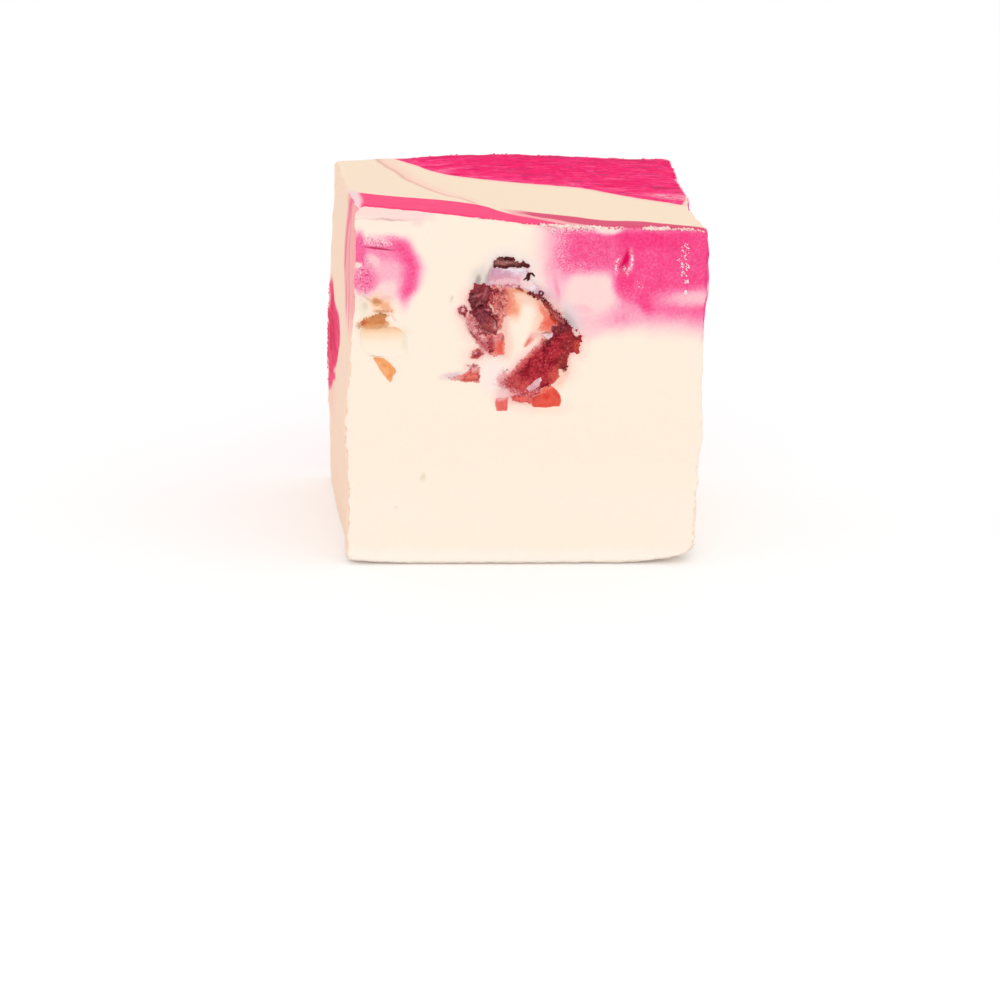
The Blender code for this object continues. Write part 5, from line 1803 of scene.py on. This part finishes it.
# Each heap: how many crumbs, their sizes, how far they stand out, and where they lie
crumbs = {
    "pink_crumbs": {
        "tones": [(196, 84, 94), (222, 128, 134), (240, 180, 182)],
        "slot": "fruit_flesh",
        "node": "dried_fruit",
        "heaps": [
            {"count": 110, "size": (0.12, 0.3), "lift": 0.06, "strand": [
                (-5.3, 24.9, 0.2), (-5.0, 24.0, 0.3), (-4.6, 23.2, 0.35), (-4.2, 22.5, 0.4),
                (-3.9, 21.8, 0.4),
            ]},
            {"count": 30, "size": (0.1, 0.24), "strand": [(-4.0, 22.2, 0.5), (-3.2, 21.8, 0.5)]},
            {"count": 46, "size": (0.08, 0.2), "strand": [
                (-3.6, 28.15, 0.15), (-2.6, 28.1, 0.2), (-1.4, 28.05, 0.2), (-0.6, 28.0, 0.12),
            ]},
            {"count": 40, "size": (0.08, 0.2), "lift": 0.12, "strand": [
                (-3.2, 27.2, 0.5), (-2.6, 26.4, 0.7), (-2.3, 25.4, 0.5),
            ]},
            {"count": 50, "size": (0.1, 0.22), "strand": [
                (-1.9, 18.9, 0.25), (-0.7, 20.3, 0.2), (0.5, 21.5, 0.2), (1.4, 22.6, 0.2),
            ]},
            {"count": 90, "size": (0.1, 0.26), "lift": 0.04, "strand": [
                (-2.2, 18.4, 0.4), (-0.8, 17.6, 0.35), (0.6, 17.3, 0.3), (1.4, 18.0, 0.3),
            ]},
            {"count": 12, "size": (0.07, 0.14), "lift": 0.12, "strand": [
                (1.0, 21.0, 1.0), (3.0, 22.6, 1.1),
            ]},
            {"count": 26, "size": (0.07, 0.16), "lift": 0.1, "strand": [
                (0.6, 27.4, 0.15), (2.0, 26.4, 0.15), (3.6, 24.9, 0.15),
            ]},
            {"count": 30, "size": (0.1, 0.22), "lift": 0.05, "strand": [
                (-5.5, 20.1, 0.35), (-4.6, 20.0, 0.3),
            ]},
        ],
    },
    "dark_crumbs": {
        "tones": [(96, 28, 38), (132, 46, 56), (168, 76, 84)],
        "slot": "fruit_skin",
        "node": "dried_fruit",
        "heaps": [
            {"count": 80, "size": (0.08, 0.22), "lift": 0.08, "strand": [
                (0.2, 27.6, 0.15), (1.2, 27.1, 0.2), (2.2, 26.3, 0.2), (3.2, 25.2, 0.2), (4.1, 24.3, 0.2),
                (5.2, 23.5, 0.1),
            ]},
            {"count": 26, "size": (0.08, 0.18), "lift": 0.05, "strand": [
                (-5.0, 24.2, 0.15), (-4.6, 23.4, 0.25), (-4.0, 22.6, 0.3), (-3.4, 21.6, 0.2),
            ]},
            {"count": 5, "size": (0.06, 0.12), "strand": [(-5.0, 20.3, 0.15), (-4.8, 20.2, 0.1)]},
            {"count": 6, "size": (0.06, 0.12), "strand": [(-2.1, 19.95, 0.2), (-1.7, 19.7, 0.1)]},
            {"count": 16, "size": (0.06, 0.16), "strand": [
                (-2.2, 18.9, 0.2), (-1.2, 18.2, 0.2), (0.0, 17.6, 0.2),
            ]},
            {"count": 8, "size": (0.06, 0.14), "strand": [(-7.4, 18.95, 0.2), (-6.6, 18.9, 0.15)]},
            {"count": 18, "size": (0.06, 0.16), "lift": 0.12, "strand": [
                (-3.0, 26.8, 0.6), (-2.6, 25.8, 0.5),
            ]},
        ],
    },
    "pale_flecks": {
        "tones": [(250, 190, 208), (253, 226, 232), (255, 240, 238)],
        "slot": "fudge",
        "node": "fudge_block",
        "heaps": [
            {"count": 30, "size": (0.07, 0.2), "strand": [(15.2, 32.2, 0.35), (15.1, 31.3, 0.45)]},
            {"count": 34, "size": (0.08, 0.22), "strand": [(14.9, 30.8, 0.5), (15.3, 29.9, 0.45)]},
            {"count": 12, "size": (0.08, 0.24), "strand": [(15.1, 29.35, 0.3)]},
            {"count": 9, "size": (0.14, 0.34), "strand": [(15.35, 28.65, 0.18)]},
            {"count": 8, "size": (0.18, 0.36), "strand": [(15.35, 27.6, 0.12), (15.35, 27.4, 0.14)]},
            {"count": 24, "size": (0.06, 0.16), "strand": [
                (8.75, 30.9, 0.06), (8.5, 30.2, 0.08), (8.5, 29.5, 0.12),
            ]},
            {"count": 40, "size": (0.08, 0.18), "lift": 0.03, "strand": [
                (9.85, 31.5, 0.05), (10.05, 30.9, 0.06), (9.95, 30.2, 0.08), (9.5, 29.3, 0.15),
            ]},
            {"count": 10, "size": (0.06, 0.14), "strand": [(9.3, 29.6, 0.2), (9.4, 30.2, 0.12)]},
            {"count": 34, "size": (0.06, 0.16), "strand": [
                (-15.2, 32.3, 0.35), (-14.2, 32.3, 0.4), (-13.2, 32.2, 0.3),
            ]},
            {"count": 26, "size": (0.06, 0.16), "strand": [
                (-16.3, 29.8, 0.2), (-16.2, 28.6, 0.35), (-15.9, 27.7, 0.3),
            ]},
            {"count": 22, "size": (0.06, 0.16), "lift": 0.06, "strand": [
                (-0.3, 27.55, 0.15), (0.9, 27.5, 0.2), (2.2, 26.5, 0.15), (3.9, 24.9, 0.15),
            ]},
            {"count": 8, "size": (0.06, 0.14), "strand": [(10.7, 28.6, 0.3), (11.2, 27.9, 0.2)]},
        ],
    },
    "cream_crumbs": {
        "tones": [(250, 206, 206), (252, 222, 214), (255, 238, 228)],
        "slot": "fudge",
        "node": "fudge_block",
        "heaps": [
            {"count": 170, "size": (0.1, 0.34), "spread": (0, 0.1, 0.1), "edge": (
                (0.8, frontEdge, topEdge), (6.9, frontEdge, topEdge),
            )},
            {"count": 40, "size": (0.08, 0.2), "spread": (0, 0.0, 0.2), "edge": (
                (1.6, frontEdge, topEdge - 0.3), (5.6, frontEdge, topEdge - 0.3),
            )},
            {"count": 30, "size": (0.08, 0.18), "spread": (0, 0.06, 0.05), "edge": (
                (-6.0, frontEdge, topEdge), (1.2, frontEdge, topEdge),
            )},
            {"count": 30, "size": (0.1, 0.2), "spread": (0, 0.05, 0.05), "edge": (
                (6.9, frontEdge, topEdge), (9.0, frontEdge, topEdge),
            )},
            {"count": 110, "size": (0.1, 0.34), "spread": (0, 0.1, 0.1), "edge": (
                (10.9, frontEdge, topEdge), (13.6, frontEdge, topEdge),
            )},
            {"count": 60, "size": (0.08, 0.24), "spread": (0, 0.06, 0.07), "edge": (
                (13.6, frontEdge, topEdge), (17.2, frontEdge, topEdge),
            )},
            {"count": 30, "size": (0.12, 0.3), "spread": (0.08, 0, 0.08), "edge": (
                (rightEdge, 15.5, topEdge), (rightEdge, -6.0, topEdge),
            )},
            {"count": 50, "size": (0.08, 0.22), "strand": [
                (-16.1, 26.9, 0.2), (-15.4, 26.2, 0.35), (-15.0, 25.6, 0.3), (-13.4, 25.9, 0.3),
                (-13.1, 25.2, 0.15),
            ]},
            {"count": 16, "size": (0.1, 0.24), "strand": [
                (-13.1, 25.6, 0.1), (-12.9, 24.8, 0.1), (-12.4, 24.4, 0.12),
            ]},
        ],
    },
    "deep_crumbs": {
        "tones": [(236, 40, 110), (250, 84, 140), (252, 140, 176)],
        "slot": "fudge",
        "node": "fudge_block",
        "heaps": [
            {"count": 110, "size": (0.1, 0.24), "spread": (0, 0.08, 0.04), "edge": (
                (-9.5, backEdge, topEdge), (17.0, backEdge, topEdge),
            )},
            {"count": 40, "size": (0.1, 0.2), "spread": (0, 0.05, 0.1), "edge": (
                (7.4, frontEdge, topEdge - 0.1), (17.3, frontEdge, topEdge - 0.1),
            )},
            {"count": 90, "size": (0.14, 0.42), "spread": (0.08, 0.08, 0), "edge": (
                (-rightEdge, backEdge, 21.5), (-rightEdge, backEdge, 11.0),
            )},
        ],
    },
}
for seed, (name, kind) in enumerate(crumbs.items(), 40):
    crumbPiece(name, kind["slot"], kind["node"], makeCrumb(name, kind["tones"]), kind["heaps"], seed)


# Camera, light and floor

# place, lens and nearest distance in mm, turns in degrees
view = {
    "place": (-26.0909, -298.9191, 87.0194),
    "down": 15.827,
    "right": 4.838,
    "roll": 1.309,
    "lens": 108.0,
    "sensor": 36.0,
    "nearest": 10.0,
}


def makeCamera():
    down, right, roll = (math.radians(view[key]) for key in ("down", "right", "roll"))
    ahead = Vector((math.sin(right) * math.cos(down), math.cos(right) * math.cos(down), -math.sin(down)))
    level = Vector((math.cos(right), -math.sin(right), 0.0))
    up = level.cross(ahead)
    sideways = math.cos(roll) * level + math.sin(roll) * up
    upward = -math.sin(roll) * level + math.cos(roll) * up
    data = bpy.data.cameras.new("camera")
    data.lens = view["lens"]
    data.sensor_width = view["sensor"]
    data.clip_start = view["nearest"] * mm
    camera = bpy.data.objects.new("camera", data)
    turn = Matrix((sideways, upward, -ahead)).transposed().to_4x4()
    camera.matrix_world = Matrix.Translation(Vector(view["place"]) * mm) @ turn
    bpy.context.scene.collection.objects.link(camera)
    bpy.context.scene.camera = camera


studio = {
    "world": 1.0,
    "floor": (0.93, 0.93, 0.93, 1.0),
    "floorGlow": 0.06,
    "floorReach": 3.0,  # in metres
    # the lamps point to this height, in mm
    "aimHeight": 17,
    # place and size in mm, power in watts
    "lamps": {
        "front": ((-60, -420, 240), 300, 0.25),
        "right": ((330, -120, 240), 260, 0.05),
    },
}


def makeStudio():
    scene = bpy.context.scene
    scene.view_settings.view_transform = "Standard"
    world = bpy.data.worlds.new("studio")
    world.use_nodes = True
    world.node_tree.nodes["Background"].inputs["Color"].default_value = (1, 1, 1, 1)
    world.node_tree.nodes["Background"].inputs["Strength"].default_value = studio["world"]
    scene.world = world
    for name, (place, size, power) in studio["lamps"].items():
        data = bpy.data.lights.new(name, "AREA")
        data.shape = "SQUARE"
        data.size = size * mm
        data.energy = power
        lamp = bpy.data.objects.new(name, data)
        lamp.location = Vector(place) * mm
        aim = Vector((0, 0, studio["aimHeight"] * mm)) - lamp.location
        lamp.rotation_euler = aim.to_track_quat("-Z", "Y").to_euler()
        scene.collection.objects.link(lamp)
    look = Look("floor", 0.9)
    look.shader.inputs["Base Color"].default_value = studio["floor"]
    look.shader.inputs["Emission Color"].default_value = (1, 1, 1, 1)
    look.shader.inputs["Emission Strength"].default_value = studio["floorGlow"]
    mesh = bpy.data.meshes.new("floor")
    wide = studio["floorReach"]
    corners = [(-wide, -wide, 0), (wide, -wide, 0), (wide, wide, 0), (-wide, wide, 0)]
    mesh.from_pydata(corners, [], [(0, 1, 2, 3)])
    mesh.materials.append(look.material)
    floor = bpy.data.objects.new("floor", mesh)
    scene.collection.objects.link(floor)


makeCamera()
makeStudio()
print("studio")
